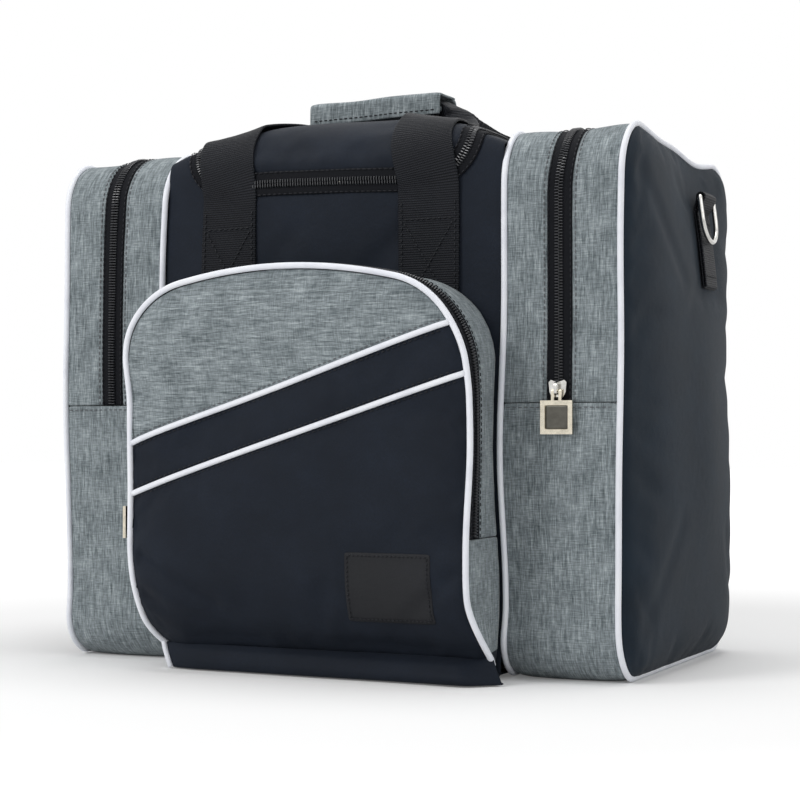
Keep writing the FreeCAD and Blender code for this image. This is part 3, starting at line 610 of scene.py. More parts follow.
GOLD = metal_finish("pale_gold", (0.79, 0.73, 0.6), 0.2)
DARK_METAL = metal_finish("pull_recess", (0.12, 0.115, 0.1), 0.35)
FOAM = foam_finish("foam")
BOARD = board_finish("board")


# ---- making final meshes -----------------------------------------------------------------------------------
def baked(obj, thickness=0.0, levels=0):
    """Thickness and smoothing, put into the mesh itself."""
    if thickness:
        solid = obj.modifiers.new("thickness", "SOLIDIFY")
        solid.thickness, solid.offset = thickness, -1      # inwards from the face that shows
    if levels:
        smooth = obj.modifiers.new("smooth", "SUBSURF")
        smooth.levels = smooth.render_levels = levels
    graph = bpy.context.evaluated_depsgraph_get()
    mesh = bpy.data.meshes.new_from_object(obj.evaluated_get(graph))
    obj.modifiers.clear()
    old, obj.data = obj.data, mesh
    bpy.data.meshes.remove(old)
    mesh.polygons.foreach_set("use_smooth", [True] * len(mesh.polygons))
    return obj


def cloth_piece(name, points, uv, centre=BAG_MIDDLE, thickness=CLOTH_THICK):
    return baked(face_out(grid_piece(name, points, uv), centre), thickness, 1)


def rim(shape, first, last, sides):
    """True on the border rows and columns of a grid."""
    held = np.zeros(shape, bool)
    held[:first], held[-last:], held[:, :sides], held[:, -sides:] = True, True, True, True
    return held


CLOTH_FRAMES = 20


def pressed(points, pinned, pressure, cap, grow, outward):
    """Cloth held along its pinned points and blown from behind; no point goes further than cap."""
    obj = grid_piece("cloth_run", points, np.zeros(points.shape[:2] + (2,)))
    normals = np.zeros(len(obj.data.polygons) * 3)
    obj.data.polygons.foreach_get("normal", normals)
    if normals.reshape(-1, 3).sum(0) @ np.array(outward) < 0:
        obj.data.flip_normals()
    group = obj.vertex_groups.new(name="held")
    group.add([int(k) for k in np.flatnonzero(np.asarray(pinned).ravel())], 1.0, "REPLACE")
    cloth = obj.modifiers.new("Cloth", "CLOTH")
    settings = cloth.settings
    settings.vertex_group_mass = "held"
    settings.mass, settings.quality = 0.25, 6
    settings.use_pressure, settings.uniform_pressure_force = True, pressure
    settings.shrink_min = -grow
    settings.tension_stiffness = settings.compression_stiffness = 12
    settings.bending_stiffness = 0.6
    settings.effector_weights.gravity = 0
    scene = bpy.context.scene
    scene.frame_start, scene.frame_end = 1, CLOTH_FRAMES
    cloth.point_cache.frame_start, cloth.point_cache.frame_end = 1, CLOTH_FRAMES
    for frame_number in range(1, CLOTH_FRAMES + 1):
        scene.frame_set(frame_number)
    graph = bpy.context.evaluated_depsgraph_get()
    mesh = obj.evaluated_get(graph).data
    found = np.zeros(len(mesh.vertices) * 3)
    mesh.vertices.foreach_get("co", found)
    bpy.data.objects.remove(obj)
    scene.frame_set(1)
    move = found.reshape(points.shape) - points
    length = np.linalg.norm(move, axis=-1, keepdims=True)
    return points + move * (cap * np.tanh(length / cap) / np.maximum(length, 1e-9))


def spread(vectors, count):
    """Unit vectors along a line, spread evenly over a number of points."""
    vectors = np.asarray(vectors, float)
    at, own = np.linspace(0, 1, count), np.linspace(0, 1, len(vectors))
    return unit(np.stack([np.interp(at, own, vectors[:, k]) for k in range(3)], 1))


def point_at(line, s, where):
    """A line's point at a distance along it, and the number of the line's own point there."""
    number = min(int(np.searchsorted(s, where)), len(line) - 1)
    return arr(*[np.interp(where, s, line[:, k]) for k in range(3)]), number


def stack_faces(base, rings):
    """Faces of a small closed solid of four-point rings, whose first point is number base."""
    faces = [tuple(base + 4 * ring + k for k in (a, (a + 1) % 4, 4 + (a + 1) % 4, 4 + a))
             for ring in range(rings - 1) for a in range(4)]
    last = base + 4 * (rings - 1)
    return faces + [(base + 3, base + 2, base + 1, base), (last, last + 1, last + 2, last + 3)]


def dashes(name, points, normals, length=2.6 * MM, gap=1.3 * MM, lift=0.1 * MM):
    """A row of stitches along a line: small rounded dashes, proud at their middles."""
    line, s = resampled(points, 0.9 * MM)
    normal = spread(normals, len(line))
    side = unit(np.cross(unit(np.gradient(line, axis=0)), normal))
    verts, faces = [], []
    count = int(s[-1] / (length + gap))
    for k in range(count):
        faces += stack_faces(len(verts), 4)
        start = (k + 0.5) * s[-1] / count
        for at, size, rise in ((-0.5, 0.45, -0.6), (-0.3, 1, 0.5), (0.3, 1, 0.5), (0.5, 0.45, -0.6)):
            centre, i = point_at(line, s, np.clip(start + at * length, 0, s[-1]))
            centre = centre + normal[i] * (lift + rise * STITCH_THICK / 2)
            for a in range(4):
                angle = math.pi / 4 + a * math.pi / 2
                across = math.cos(angle) * side[i] * 1.25 + math.sin(angle) * normal[i]
                verts.append(centre + size * STITCH_THICK * 0.7 * across)
    return clean(piece(name, verts, faces, [[(0, 0)] * 4] * len(faces)))


def teeth(name, line, normals, inward, phase):
    """Coil of one zip half: a rounded tooth every pitch along a line, reaching inward from it."""
    pitch, width, thick, rise = 1.9 * MM, 2.9 * MM, 0.85 * MM, 1.15 * MM
    fine, s = resampled(line, 0.8 * MM)
    normal, across = spread(normals, len(fine)), spread(inward, len(fine))
    tangent = unit(np.gradient(fine, axis=0))
    verts, faces = [], []
    for k in range(int(s[-1] / pitch)):
        faces += stack_faces(len(verts), 3)
        centre, i = point_at(fine, s, (k + phase) * pitch)
        for height, shrink in ((-0.4, 1.0), (0.55, 1.0), (1.0, 0.62)):
            for a, b in ((-1, -1), (1, -1), (1, 1), (-1, 1)):
                verts.append(centre + across[i] * width * (0.5 + 0.5 * a * shrink)
                             + tangent[i] * thick * 0.5 * b * shrink + normal[i] * rise * height)
    return clean(piece(name, verts, faces, [[(0, 0)] * 4] * len(faces), smooth=False))


# ---- side pockets, drawn on the right and turned half round for the left -----------------------------------
def to_side(points, side):
    points = np.asarray(points, float)
    return points if side == "right" else points * arr(-1, -1, 1)


def pocket_path(inset, part, step):
    """The pocket's outline in y and z, inset by a distance: its upper or lower part, or all of it closed."""
    half, top = HALF_DEPTH - inset, POCKET_TOP - inset
    top_r, foot_r = TOP_RADIUS - inset, FOOT_RADIUS - inset
    if part == "upper":
        corners = [(-half, SEAM_Z, 0), (-half, top, top_r), (half, top, top_r), (half, SEAM_Z, 0)]
    elif part == "lower":
        corners = [(half, SEAM_Z, 0), (half, inset, foot_r), (-half, inset, foot_r), (-half, SEAM_Z, 0)]
    else:
        corners = [(0, inset, 0), (half, inset, foot_r), (half, top, top_r), (-half, top, top_r),
                   (-half, inset, foot_r), (0, inset, 0)]
    return resampled(filleted(corners), step)


def path_out(path, middle=(0, MIDDLE_Z)):
    """Outward unit normals of a path in its plane."""
    tangent = unit(np.gradient(path, axis=0))
    normal = np.stack([tangent[:, 1], -tangent[:, 0]], 1)
    return normal if ((path - arr(*middle)) * normal).sum() > 0 else -normal


def puckers(s, seed, pitch=17 * MM):
    """Small uneven waves along a seam."""
    s = np.asarray(s, float)
    return (np.sin(s * 2 * math.pi / pitch + seed) * 0.6 + np.sin(s * 2 * math.pi / (pitch * 0.62) + 2.1 * seed)
            + np.sin(s * 2 * math.pi / (pitch * 2.3) + 0.7 * seed)) / 2.6


def strip_lift(bulge, seed):
    """Height of a strip of cloth at s along it and w across it: full in the middle, tucked at its seams."""
    def lift(s, w):
        edge = np.minimum(w, 1 - w)
        body = 1 - (1 - np.clip(edge * 2, 0, 1)) ** 2.5
        near = np.exp(-(edge / 0.16) ** 2)
        return bulge * body - 1.0 * MM * np.exp(-(edge / 0.035) ** 2) + 0.35 * MM * near * puckers(s, seed)
    return lift


def pocket_strip(name, side, part, x0, x1, lift, cols=13, thickness=CLOTH_THICK, level=0.0):
    """A strip of cloth or tape round the pocket, between two x."""
    path, s = pocket_path(0, part, 4 * MM)
    normal = path_out(path)
    x, w = np.linspace(x0, x1, cols), np.linspace(0, 1, cols)
    points = np.zeros((len(path), cols, 3))
    points[..., 0] = x
    points[..., 1:] = path[:, None] + normal[:, None] * (lift(s[:, None], w[None])[..., None] + level)
    centre = to_side(arr((x0 + x1) / 2, 0, MIDDLE_Z), side)
    return cloth_piece(name, moved(to_side(points, side)), [[(a, b) for a in x] for b in s],
                       centre, thickness)


def pocket_line(side, x, level):
    """A line over the pocket at x, with its outward directions, where the settled cloth is."""
    path, _ = pocket_path(0, "upper", 3 * MM)
    normal = path_out(path)
    points = np.insert(path + normal * level, 0, x, axis=1)
    return moved(to_side(points, side)), to_side(np.insert(normal, 0, 0, axis=1), side)


def cad_pillow(y, z):
    """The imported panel's depth beyond its edges."""
    total = []
    for half, at in ((HALF_DEPTH, y), (POCKET_TOP / 2, z - POCKET_TOP / 2)):
        radius = (half ** 2 + PANEL_BULGE ** 2) / (2 * PANEL_BULGE)
        total.append(PANEL_BULGE - radius + np.sqrt(radius ** 2 - np.minimum(at ** 2, half ** 2)))
    return np.minimum(*total)


PILLOW_WALL, PILLOW_CROWN = 3.0 * MM, 14.5 * MM      # short steep edge, then a round crown
RING_Y = (low("right_strap_ring_tab").y + high("right_strap_ring_tab").y) / 2
RING_LOW = low("right_strap_ring_tab").z


def pillow(y, z):
    """Depth of the filled side panel at a point inside its outline."""
    half_y, half_z = HALF_DEPTH - PIPING_IN, POCKET_TOP / 2 - PIPING_IN
    v = z - POCKET_TOP / 2
    radius = TOP_RADIUS - PIPING_IN
    qy, qz = np.abs(y) - (half_y - radius), np.abs(v) - (half_z - radius)
    outside = np.hypot(np.maximum(qy, 0), np.maximum(qz, 0))
    gap = np.maximum(-(np.minimum(np.maximum(qy, qz), 0) + outside - radius), 0)
    edge = 1 - (1 - np.clip(gap / (14 * MM), 0, 1)) ** 2.5
    crown = np.maximum(1 - (y / half_y) ** 2, 0) * np.maximum(1 - (v / half_z) ** 2, 0) ** 0.8
    wall = PILLOW_WALL + 3.0 * MM * (1 - ramp(z, 0.08, 0.24))
    depth = wall * edge + PILLOW_CROWN * crown
    near = hump(y, RING_Y, 42 * MM) * ramp(z, 0.17, 0.24)
    return depth * (1 - near) + np.minimum(cad_pillow(y, z) * edge, depth) * near


def panel_rows(inset, step):
    """Heights of the panel's rows, close together round its corners, with its half width at each."""
    low_z, high_z, half = inset, POCKET_TOP - inset, HALF_DEPTH - inset
    radius_top, radius_foot = TOP_RADIUS - inset, FOOT_RADIUS - inset
    foot = [(low_z + radius_foot * (1 - math.cos(a)), half - radius_foot * (1 - math.sin(a)))
            for a in np.linspace(0, math.pi / 2, 9)[:-1]]
    top = [(high_z - radius_top * (1 - math.cos(a)), half - radius_top * (1 - math.sin(a)))
           for a in np.linspace(math.pi / 2, 0, 9)[1:]]
    count = int((high_z - low_z - radius_top - radius_foot) / step)
    straight = [(z, half) for z in np.linspace(low_z + radius_foot, high_z - radius_top, count)]
    return np.array(foot + straight + top)


PANEL_FOLDS = [      # start, end, width and depth of each crease, in metres
    ((0.21, -0.105, 0.33), (0.226, -0.03, 0.262), 9 * MM, -1.3 * MM),
    ((0.21, 0.1, 0.335), (0.226, 0.045, 0.30), 8 * MM, -0.8 * MM),
    ((0.21, -0.1, 0.03), (0.226, -0.045, 0.1), 10 * MM, -1.2 * MM),
    ((0.21, 0.1, 0.03), (0.226, 0.06, 0.09), 10 * MM, -1.2 * MM),
]


def side_panel(side):
    """The pocket's filled outer face."""
    rows = panel_rows(PIPING_IN - 0.5 * MM, 5.5 * MM)
    u = np.sin(np.linspace(-1, 1, 45) * math.pi / 2) * 0.35 + np.linspace(-1, 1, 45) * 0.65
    y, z = rows[:, 1:2] * u[None], np.repeat(rows[:, :1], 45, 1)
    deep = pillow(y, z)
    points = np.stack([PANEL_X - 2 * MM + deep + 1.6 * MM * (deep > 0), y, z], -1)
    near_ring = (np.abs(y - RING_Y) < 26 * MM) & (z > RING_LOW - 6 * MM)
    points = pressed(points, rim(y.shape, 2, 2, 2) | near_ring, 1.5, 2.2 * MM, 0.012, (1, 0, 0))
    wrinkle = 0.35 * MM * waves(points * arr(1, 1.6, 0.6), 0.13, 7 if side == "right" else 9)
    wrinkle += sum(fold(points, *crease) for crease in PANEL_FOLDS)
    points[..., 0] += wrinkle * ramp(np.hypot(y - RING_Y, z - 0.29), 0.03, 0.07) * np.clip(deep / (8 * MM), 0, 1)
    return cloth_piece(side + "_panel", moved(to_side(points, side)), np.stack([y, z], -1))


def ring_local():
    """The ring's bar and the directions along it, out from the panel, and down along the panel."""
    joint = next(j for j in frame["record"]["behaviour"]["joints"] if j["name"] == "right_ring_swing")
    bar = arr(*joint["pos_m"])
    radius = ((POCKET_TOP / 2) ** 2 + PANEL_BULGE ** 2) / (2 * PANEL_BULGE)
    lean = math.asin((bar[2] - 31 * MM - POCKET_TOP / 2) / radius)
    return bar, arr(math.cos(lean), 0, math.sin(lean)), arr(math.sin(lean), 0, -math.cos(lean))


def ring_points():
    """Closed middle line of the ring's wire: a straight bar, two legs and a round bow."""
    half, legs = 16.7 * MM, 14.3 * MM
    right = list(filleted([(0, 0, 0), (half, 0, 2.6 * MM), (half, legs, 0)], 6))
    bow = [(half * math.cos(a), legs + half * math.sin(a)) for a in np.linspace(0, math.pi, 25)[1:]]
    left = [(-y, d) for y, d in right[::-1]]
    flat = resampled(np.array(right + bow + left), 1.4 * MM)[0][:-1]
    bar, _, down = ring_local()
    return bar + flat[:, :1] * arr(0, 1, 0) + flat[:, 1:] * down


def tab_points():
    """Middle line of the tab's webbing: up behind the bar, over it and down in front."""
    bar, out, down = ring_local()
    layer, turn = 1.6 * MM, 2.9 * MM

    def on_panel(d, height):
        at = bar + down * d
        x = PANEL_X - 0.4 * MM + pillow(np.array(RING_Y), np.array(at[2])) + height
        return arr(x, bar[1], at[2])
    back = [on_panel(d, layer * 0.5) for d in np.linspace(64, 9, 20) * MM]
    front = [on_panel(d, layer * 1.5 + 0.1 * MM) for d in np.linspace(11, 63, 20) * MM]
    loop = [bar + turn * (math.cos(a) * out - math.sin(a) * down)
            for a in np.linspace(math.radians(195), math.radians(-30), 15)]
    return resampled(np.array(back + loop + front), 1.3 * MM)[0]


def pocket_cloth(side, seed, bends):
    """Gussets, zip, piping, outer panel and the stitches over the seam at the fold."""
    inner, outer = ZIP_X - TAPE_WIDTH / 2, ZIP_X + TAPE_WIDTH / 2
    for k, (which, x0, x1, bulge, where, cols, level) in enumerate((
            ("lower", GUSSET_IN - 1 * MM, GUSSET_OUT + 1 * MM, 1.6 * MM, "bag", 19, 0.0),
            ("inner", GUSSET_IN - 1 * MM, inner + 2 * MM, 0.9 * MM, "bag", 13, -0.5 * MM),
            ("outer", outer - 2 * MM, GUSSET_OUT + 1 * MM, 0.9 * MM, bends, 13, -0.5 * MM))):
        gusset = pocket_strip("%s_gusset_%s" % (side, which), side, "lower" if k == 0 else "upper", x0, x1,
                              strip_lift(bulge, seed + k), cols, level=level)
        put(gusset, HEATHER, "grey_heather", where, "%s_pocket_%s_gusset" % (side, which))

    for which, half, where in (("inner", -1, "bag"), ("outer", 1, bends)):
        near, far = ZIP_X + half * ZIP_SLIT / 2, ZIP_X + half * TAPE_WIDTH / 2
        tape = pocket_strip("%s_tape_%s" % (side, which), side, "upper", min(near, far), max(near, far),
                            lambda s, w: 0.1 * MM * puckers(s, seed, 9 * MM) + 0 * w, 7, 1.0 * MM,
                            TAPE_RISE - 0.5 * MM)
        put(tape, TAPE, "zip_tape", where, "%s_pocket_%s_zip_tape" % (side, which))
        line, out = pocket_line(side, near + half * COIL_IN, 0.6 * MM)
        reach = np.zeros_like(line) + to_side(arr(-half, 0, 0), side)
        put(teeth("%s_coil_%s" % (side, which), line, out, reach, COIL_PHASE[half]), COIL, "zip_tape", where)
        for on, x, thread, lift in (("tape", far - half * HEM, THREAD, 0.1 * MM),
                                    ("cloth", far + half * 2.2 * MM, GREY_THREAD, -0.35 * MM)):
            row = dashes("%s_stitch_%s_%s" % (side, which, on), *pocket_line(side, x, 0.45 * MM), lift=lift)
            put(row, thread, "zip_tape", where)

    for which, x, where, nodes in (("inner", HALF_CENTRE, "bag", ["inner_piping"]),
                                   ("outer", OUTER_X, bends, ["outer_piping_lower", "outer_piping_upper"])):
        path = pocket_path(0.5 * MM, "closed", 4 * MM)[0][:-1]
        path[:, 1] = np.maximum(path[:, 1], 2 * MM)
        path = to_side(np.insert(path, 0, x, axis=1), side)
        put(tube("%s_piping_%s" % (side, which), path, EDGE_CORD, True), WHITE, "white_piping", where,
            *["%s_%s" % (side, n) for n in nodes])
    put(side_panel(side), PANEL_BLACK, "black_cloth", bends, side + "_side_panel_lower",
        side + "_side_panel_upper")

    x = np.linspace(GUSSET_IN + 2 * MM, GUSSET_OUT - 2 * MM, 20)
    for which, y in (("front", -1), ("back", 1)):
        line = np.stack([x, np.full(20, y * (HALF_DEPTH + 1.75 * MM)), np.full(20, SEAM_Z - 3 * MM)], 1)
        out = to_side(np.zeros((20, 3)) + arr(0, y, 0), side)
        put(dashes("%s_stitch_cross_%s" % (side, which), moved(to_side(line, side)), out, lift=-0.1 * MM),
            GREY_THREAD, "grey_heather", "bag")


def ring_and_tab(side, sign, flap):
    """The strap ring, and its folded tab with two rows of stitches."""
    ring = tube(side + "_ring_wire", to_side(ring_points(), side), 1.7 * MM, True, 16, False)
    put(ring, NICKEL, "nickel", side + "_ring", side + "_strap_ring")
    middle = to_side(tab_points(), side)
    across = np.zeros_like(middle) + arr(0, 1, 0)
    out = np.cross(unit(np.gradient(middle, axis=0)), across)
    tab = piece(side + "_tab", *strip_part(*ribbon(middle, across, out, 14.3 * MM, 0.78 * MM, 16, 6.0)))
    put(clean(tab), WEB, "black_webbing", flap, side + "_strap_ring_tab")
    front = middle[int(len(middle) * 0.56):]
    for k, d in enumerate((17, 55)):
        x, y, z = front[np.argmin(np.abs(front[:, 2] - (ring_local()[0][2] - d * MM)))]
        line = np.array([(x + sign * 0.85 * MM, y + a * MM, z) for a in np.linspace(-12.5, 12.5, 12)])
        row = dashes("%s_tab_stitch_%d" % (side, k), line, np.zeros((12, 3)) + arr(sign, 0, 0))
        put(row, THREAD, "black_webbing", flap)


def side_pocket(side):
    sign, seed = (1, 1.3) if side == "right" else (-1, 4.1)
    flap = side + "_pocket_flap"
    start, end = [(sign * OUTER_X, 0, SEAM_Z + up * MM) for up in (1, 30)]
    pocket_cloth(side, seed, ("bag", flap, start, end))
    ring_and_tab(side, sign, flap)
    rows = panel_rows(4 * MM, 9 * MM)
    y, z = rows[:, 1:2] * np.linspace(-1, 1, 24), np.repeat(rows[:, :1], 24, 1)
    wall = np.stack([np.full(y.shape, HALF_CENTRE - PIPING / 2 - 0.2 * MM), y, z], -1)
    wall[..., 0] -= 0.5 * MM * (1 + waves(wall, 0.08, 4))
    wall = cloth_piece(side + "_lining", to_side(wall, side), np.stack([y, z], -1), thickness=1.2 * MM)
    put(wall, LINING, "lining", "bag", side + "_pocket_partition")


for side_name in ("right", "left"):
    side_pocket(side_name)


# ---- ball compartment --------------------------------------------------------------------------------------
def main_profile(step):
    """The compartment's side outline in y and z: up the front, over the roof and down the back."""
    apex = CROWN_Z + CROWN_RADIUS * (1 / math.cos(ROOF_SLOPE) - 1)
    eaves = apex - MAIN_Y * math.tan(ROOF_SLOPE)
    corners = [(-MAIN_Y, 0.5 * MM, 0), (-MAIN_Y, eaves, MAIN_CORNER), (0, apex, CROWN_RADIUS),
               (MAIN_Y, eaves, MAIN_CORNER), (MAIN_Y, 0.5 * MM, 0)]
    return resampled(filleted(corners, 40), step)


PROFILE, PROFILE_S = main_profile(1 * MM)
PROFILE_END = PROFILE_S[-1]


def s_of_front(z):
    """Distance along the profile where its front half is at height z."""
    half = len(PROFILE) // 2
    return np.interp(z, PROFILE[:half, 1], PROFILE_S[:half])


def s_of_roof(y):
    return np.interp(y, PROFILE[:, 0] + np.arange(len(PROFILE)) * 1e-9, PROFILE_S)


def skin(x, s, lift=0.0):
    """Points of the compartment's outer face, at x and a distance along its side outline."""
    x, s = np.broadcast_arrays(np.asarray(x, float), np.asarray(s, float))

    def surface(x, s):
        y, z = np.interp(s, PROFILE_S, PROFILE[:, 0]), np.interp(s, PROFILE_S, PROFILE[:, 1])
        arch = CROWN_Z - ARCH_RADIUS + np.sqrt(ARCH_RADIUS ** 2 - np.clip(x, -HALF_CENTRE, HALF_CENTRE) ** 2)
        soft = 2.2 * MM
        z = -soft * np.logaddexp(-z / soft, -arch / soft)
        inside = ramp(LID_TAPE_X - 8 * MM - np.abs(x), 0, 45 * MM) * ramp(s, *LID_SWELL_FRONT)
        inside = inside * (1 - ramp(s, *LID_SWELL_BACK))
        return np.stack([x, y, z + 2.6 * MM * inside], -1)
    here = surface(x, s)
    step = 0.5 * MM
    ds = surface(x, np.minimum(s + step, PROFILE_END)) - surface(x, np.maximum(s - step, 0))
    dx = surface(x + step, s) - surface(x - step, s)
    normal = unit(np.cross(dx, ds))
    return here + normal * np.asarray(lift, float)[..., None], normal


LID_SWELL_FRONT = (s_of_front(0.342), s_of_front(0.342) + 60 * MM)
LID_SWELL_BACK = (s_of_roof(0.02), s_of_roof(0.08))


def window_half(z, offset):
    """Half width of the lid zip's line, moved outwards by offset, at height z on the front."""
    radius = LID_ZIP_RADIUS + offset
    drop = np.clip(LID_CORNER_Z - np.asarray(z, float), 0, radius)
    return LID_STRAIGHT + np.sqrt(np.maximum(radius ** 2 - drop ** 2, 0))


def front_z(s):
    return np.interp(s, PROFILE_S[:len(PROFILE) // 2], PROFILE[:len(PROFILE) // 2, 1])


def window_line(offset, back, step=2.5 * MM):
    """x and distance along the profile of the lid zip's line moved outwards by offset, left end to right end."""
    radius = LID_ZIP_RADIUS + offset
    s_back, s_corner = float(s_of_roof(back)), float(s_of_front(LID_CORNER_Z))
    run = np.linspace(s_back, s_corner, int((s_back - s_corner) / step) + 1)
    side_part = [(-(LID_ZIP_X + offset), s) for s in run]
    arc = [(-LID_STRAIGHT - radius * math.cos(a), float(s_of_front(LID_CORNER_Z - radius * math.sin(a))))
           for a in np.linspace(0, math.pi / 2, 18)[1:]]
    across = [(x, arc[-1][1]) for x in np.linspace(-LID_STRAIGHT, 0, int(LID_STRAIGHT / step))[1:]]
    left = side_part + arc + across
    return np.array(left + [(-x, s) for x, s in left[-2::-1]])


def front_sag(points):
    """The front zip sags a little towards the right, and its rolled edge is slightly wavy."""
    p = np.asarray(points, float)
    near = hump(p[..., 2], 0.335, 0.03) * ramp(-p[..., 1], 0.06, 0.11) * ramp(0.1 - np.abs(p[..., 0]), 0, 0.03)
    out = p.copy()
    out[..., 2] -= near * (1.5 * MM + 2.5 * MM * ramp(p[..., 0], -0.05, 0.07))
    out[..., 1] -= near * 0.5 * MM * np.sin(p[..., 0] * 90)
    return out


def lay(points):
    return moved(front_sag(points))


def main_lift(x, s):
    """Folds and fullness of the compartment's cloth."""
    points, _ = skin(x, s)
    front = ramp(-points[..., 1], 0.1, 0.118)
    total = 0.5 * MM * waves(points, 0.09, 5)
    total += front * fold(points, (0.03, -0.118, 0.265), (0.078, -0.118, 0.318), 11 * MM, -1.6 * MM)
    total += front * fold(points, (-0.05, -0.118, 0.262), (-0.02, -0.118, 0.30), 10 * MM, -0.9 * MM)
    total += front * 1.2 * MM * hump(points[..., 0], 0, 0.05) * hump(points[..., 2], 0.29, 0.03)
    return total * ramp(HALF_CENTRE - np.abs(points[..., 0]), 2 * MM, 14 * MM) * ramp(points[..., 2], 0.01, 0.05)


TAPE_EDGE = TAPE_WIDTH / 2 - TUCK


def window_gap(x, s):
    """Distance of points from the lid zip's line, outwards."""
    drop = LID_CORNER_Z - front_z(s)
    corner = np.hypot(np.maximum(np.abs(x) - LID_STRAIGHT, 0), drop) - LID_ZIP_RADIUS
    return np.where((drop > 0) & (s < PROFILE_END / 2), corner, np.abs(x) - LID_ZIP_X)


def skin_grid(x, s, edge=0.0):
    """A grid on the compartment's face with its UVs, tucked under the zip's tape and lowered by edge."""
    x, s = np.broadcast_arrays(x, s)
    lift = main_lift(x, s) - edge - 1.2 * MM * np.exp(-((window_gap(x, s) - TAPE_EDGE) / (1.8 * MM)) ** 2)
    return lay(skin(x, s, lift)[0]), np.stack([x, s], -1)


def main_cloth():
    """Front, sides of the roof and back in one cloth, with the window for the lid left open."""
    low_s, corner_s = float(s_of_front(LID_ZIP_Z - TAPE_EDGE)), float(s_of_front(LID_CORNER_Z))
    end_s, hinge_s = float(s_of_roof(LID_ZIP_END_Y)), float(s_of_roof(LID_BACK_Y))
    out_x, in_x = LID_ZIP_X + TAPE_EDGE, LID_ZIP_X - TAPE_EDGE
    wing = np.linspace(0, 1, 9)
    sides = LID_STRAIGHT + (CLOTH_X - LID_STRAIGHT) * wing
    x = np.concatenate([-sides[::-1], np.linspace(-LID_STRAIGHT, LID_STRAIGHT, 36)[1:-1], sides])
    parts = [grid_part(*skin_grid(x[None], np.linspace(0, low_s, 70)[:, None]))]
    arc_s = s_of_front(LID_CORNER_Z - (LID_ZIP_RADIUS + TAPE_EDGE) * np.cos(np.linspace(0, math.pi / 2, 16)))
    rows = np.concatenate([arc_s, np.linspace(corner_s, end_s, 56)[1:]])
    half = np.where(rows >= corner_s - 1e-6, out_x, window_half(front_z(rows), TAPE_EDGE))
    half[0] = LID_STRAIGHT
    for sign in (-1, 1):
        x = sign * (half[:, None] + (CLOTH_X - half[:, None]) * wing[None])
        parts.append(grid_part(*skin_grid(x, rows[:, None])))
    middle, corner = np.linspace(-in_x, in_x, 40), np.linspace(in_x, out_x, 6)[1:-1]
    parts.append(grid_part(*skin_grid(middle[None], np.linspace(hinge_s, end_s, 9)[:, None])))
    sides = out_x + (CLOTH_X - out_x) * wing
    rear = np.concatenate([-sides[::-1], -corner[::-1], middle, corner, sides])
    parts.append(grid_part(*skin_grid(rear[None], np.linspace(end_s, PROFILE_END, 90)[:, None])))
    obj = face_out(clean(weld(joined("main_cloth", parts), 0.3 * MM)))
    put(baked(obj, 2.0 * MM, 1), BLACK, "black_cloth", "bag", "main_front_panel", "main_rear_panel",
        "top_side_strips")


def hinge_cloth():
    """The seam allowance under the lid's back edge, which closes the gap there."""
    s = np.linspace(float(s_of_roof(LID_BACK_Y - 9 * MM)), float(s_of_roof(LID_BACK_Y + 6 * MM)), 7)[:, None]
    points, uv = skin_grid(np.linspace(-LID_ZIP_X, LID_ZIP_X, 44)[None], s, 2.2 * MM)
    put(cloth_piece("hinge_cloth", points, uv, thickness=1.0 * MM), BLACK, "black_cloth", "bag")


LID_BENDS = ("bag", "lid", (0, 0.084, 0.37), (0, 0.058, 0.37))


def lid_cloth():
    """The lid's panel, rolled at its edges and creased at its front."""
    corner_s, back_s = float(s_of_front(LID_CORNER_Z)), float(s_of_roof(LID_BACK_Y))
    arc_s = s_of_front(LID_CORNER_Z - (LID_ZIP_RADIUS - TAPE_EDGE) * np.cos(np.linspace(0, math.pi / 2, 12)))
    rows = np.concatenate([arc_s, np.linspace(corner_s, back_s, 60)[1:]])
    half = np.where(rows >= corner_s - 1e-6, LID_ZIP_X - TAPE_EDGE, window_half(front_z(rows), -TAPE_EDGE))
    u = np.linspace(-1, 1, 49)
    x, s = half[:, None] * u[None], np.repeat(rows[:, None], 49, 1)
    to_edge = np.minimum((1 - np.abs(u))[None] * half[:, None], (rows - rows[0])[:, None])
    front = ramp(-skin(x, s)[0][..., 1], 0.06, 0.1)
    roll = 1.9 * MM * hump(to_edge, 8 * MM, 5 * MM) - 1.2 * MM * hump(to_edge, 0, 2.6 * MM)
    roll += front * 0.8 * MM * hump(to_edge, 7 * MM, 6 * MM) * puckers(x, 2.0, 23 * MM)
    roll += front * (fold_at(x, 0.022, rows) + fold_at(x, 0.074, rows))
    half[0] = LID_STRAIGHT
    x = half[:, None] * u[None]
    points = skin(x, s, roll + 0.6 * MM * waves(skin(x, s)[0], 0.1, 6) * ramp(to_edge, 0, 0.02))[0]
    points = pressed(points, rim(x.shape, 3, 2, 3), 1.0, 2.0 * MM, 0.008, (0, 0, 1))
    obj = cloth_piece("lid_cloth", lay(points), np.stack([x, s], -1), thickness=2.0 * MM)
    put(obj, BLACK, "black_cloth", LID_BENDS, "lid_panel")


def fold_at(x, middle, rows):
    """A short dimple in the lid's rolled front edge."""
    return -1.3 * MM * hump(x, middle, 5 * MM) * hump(rows[:, None] - rows[0], 9 * MM, 8 * MM)


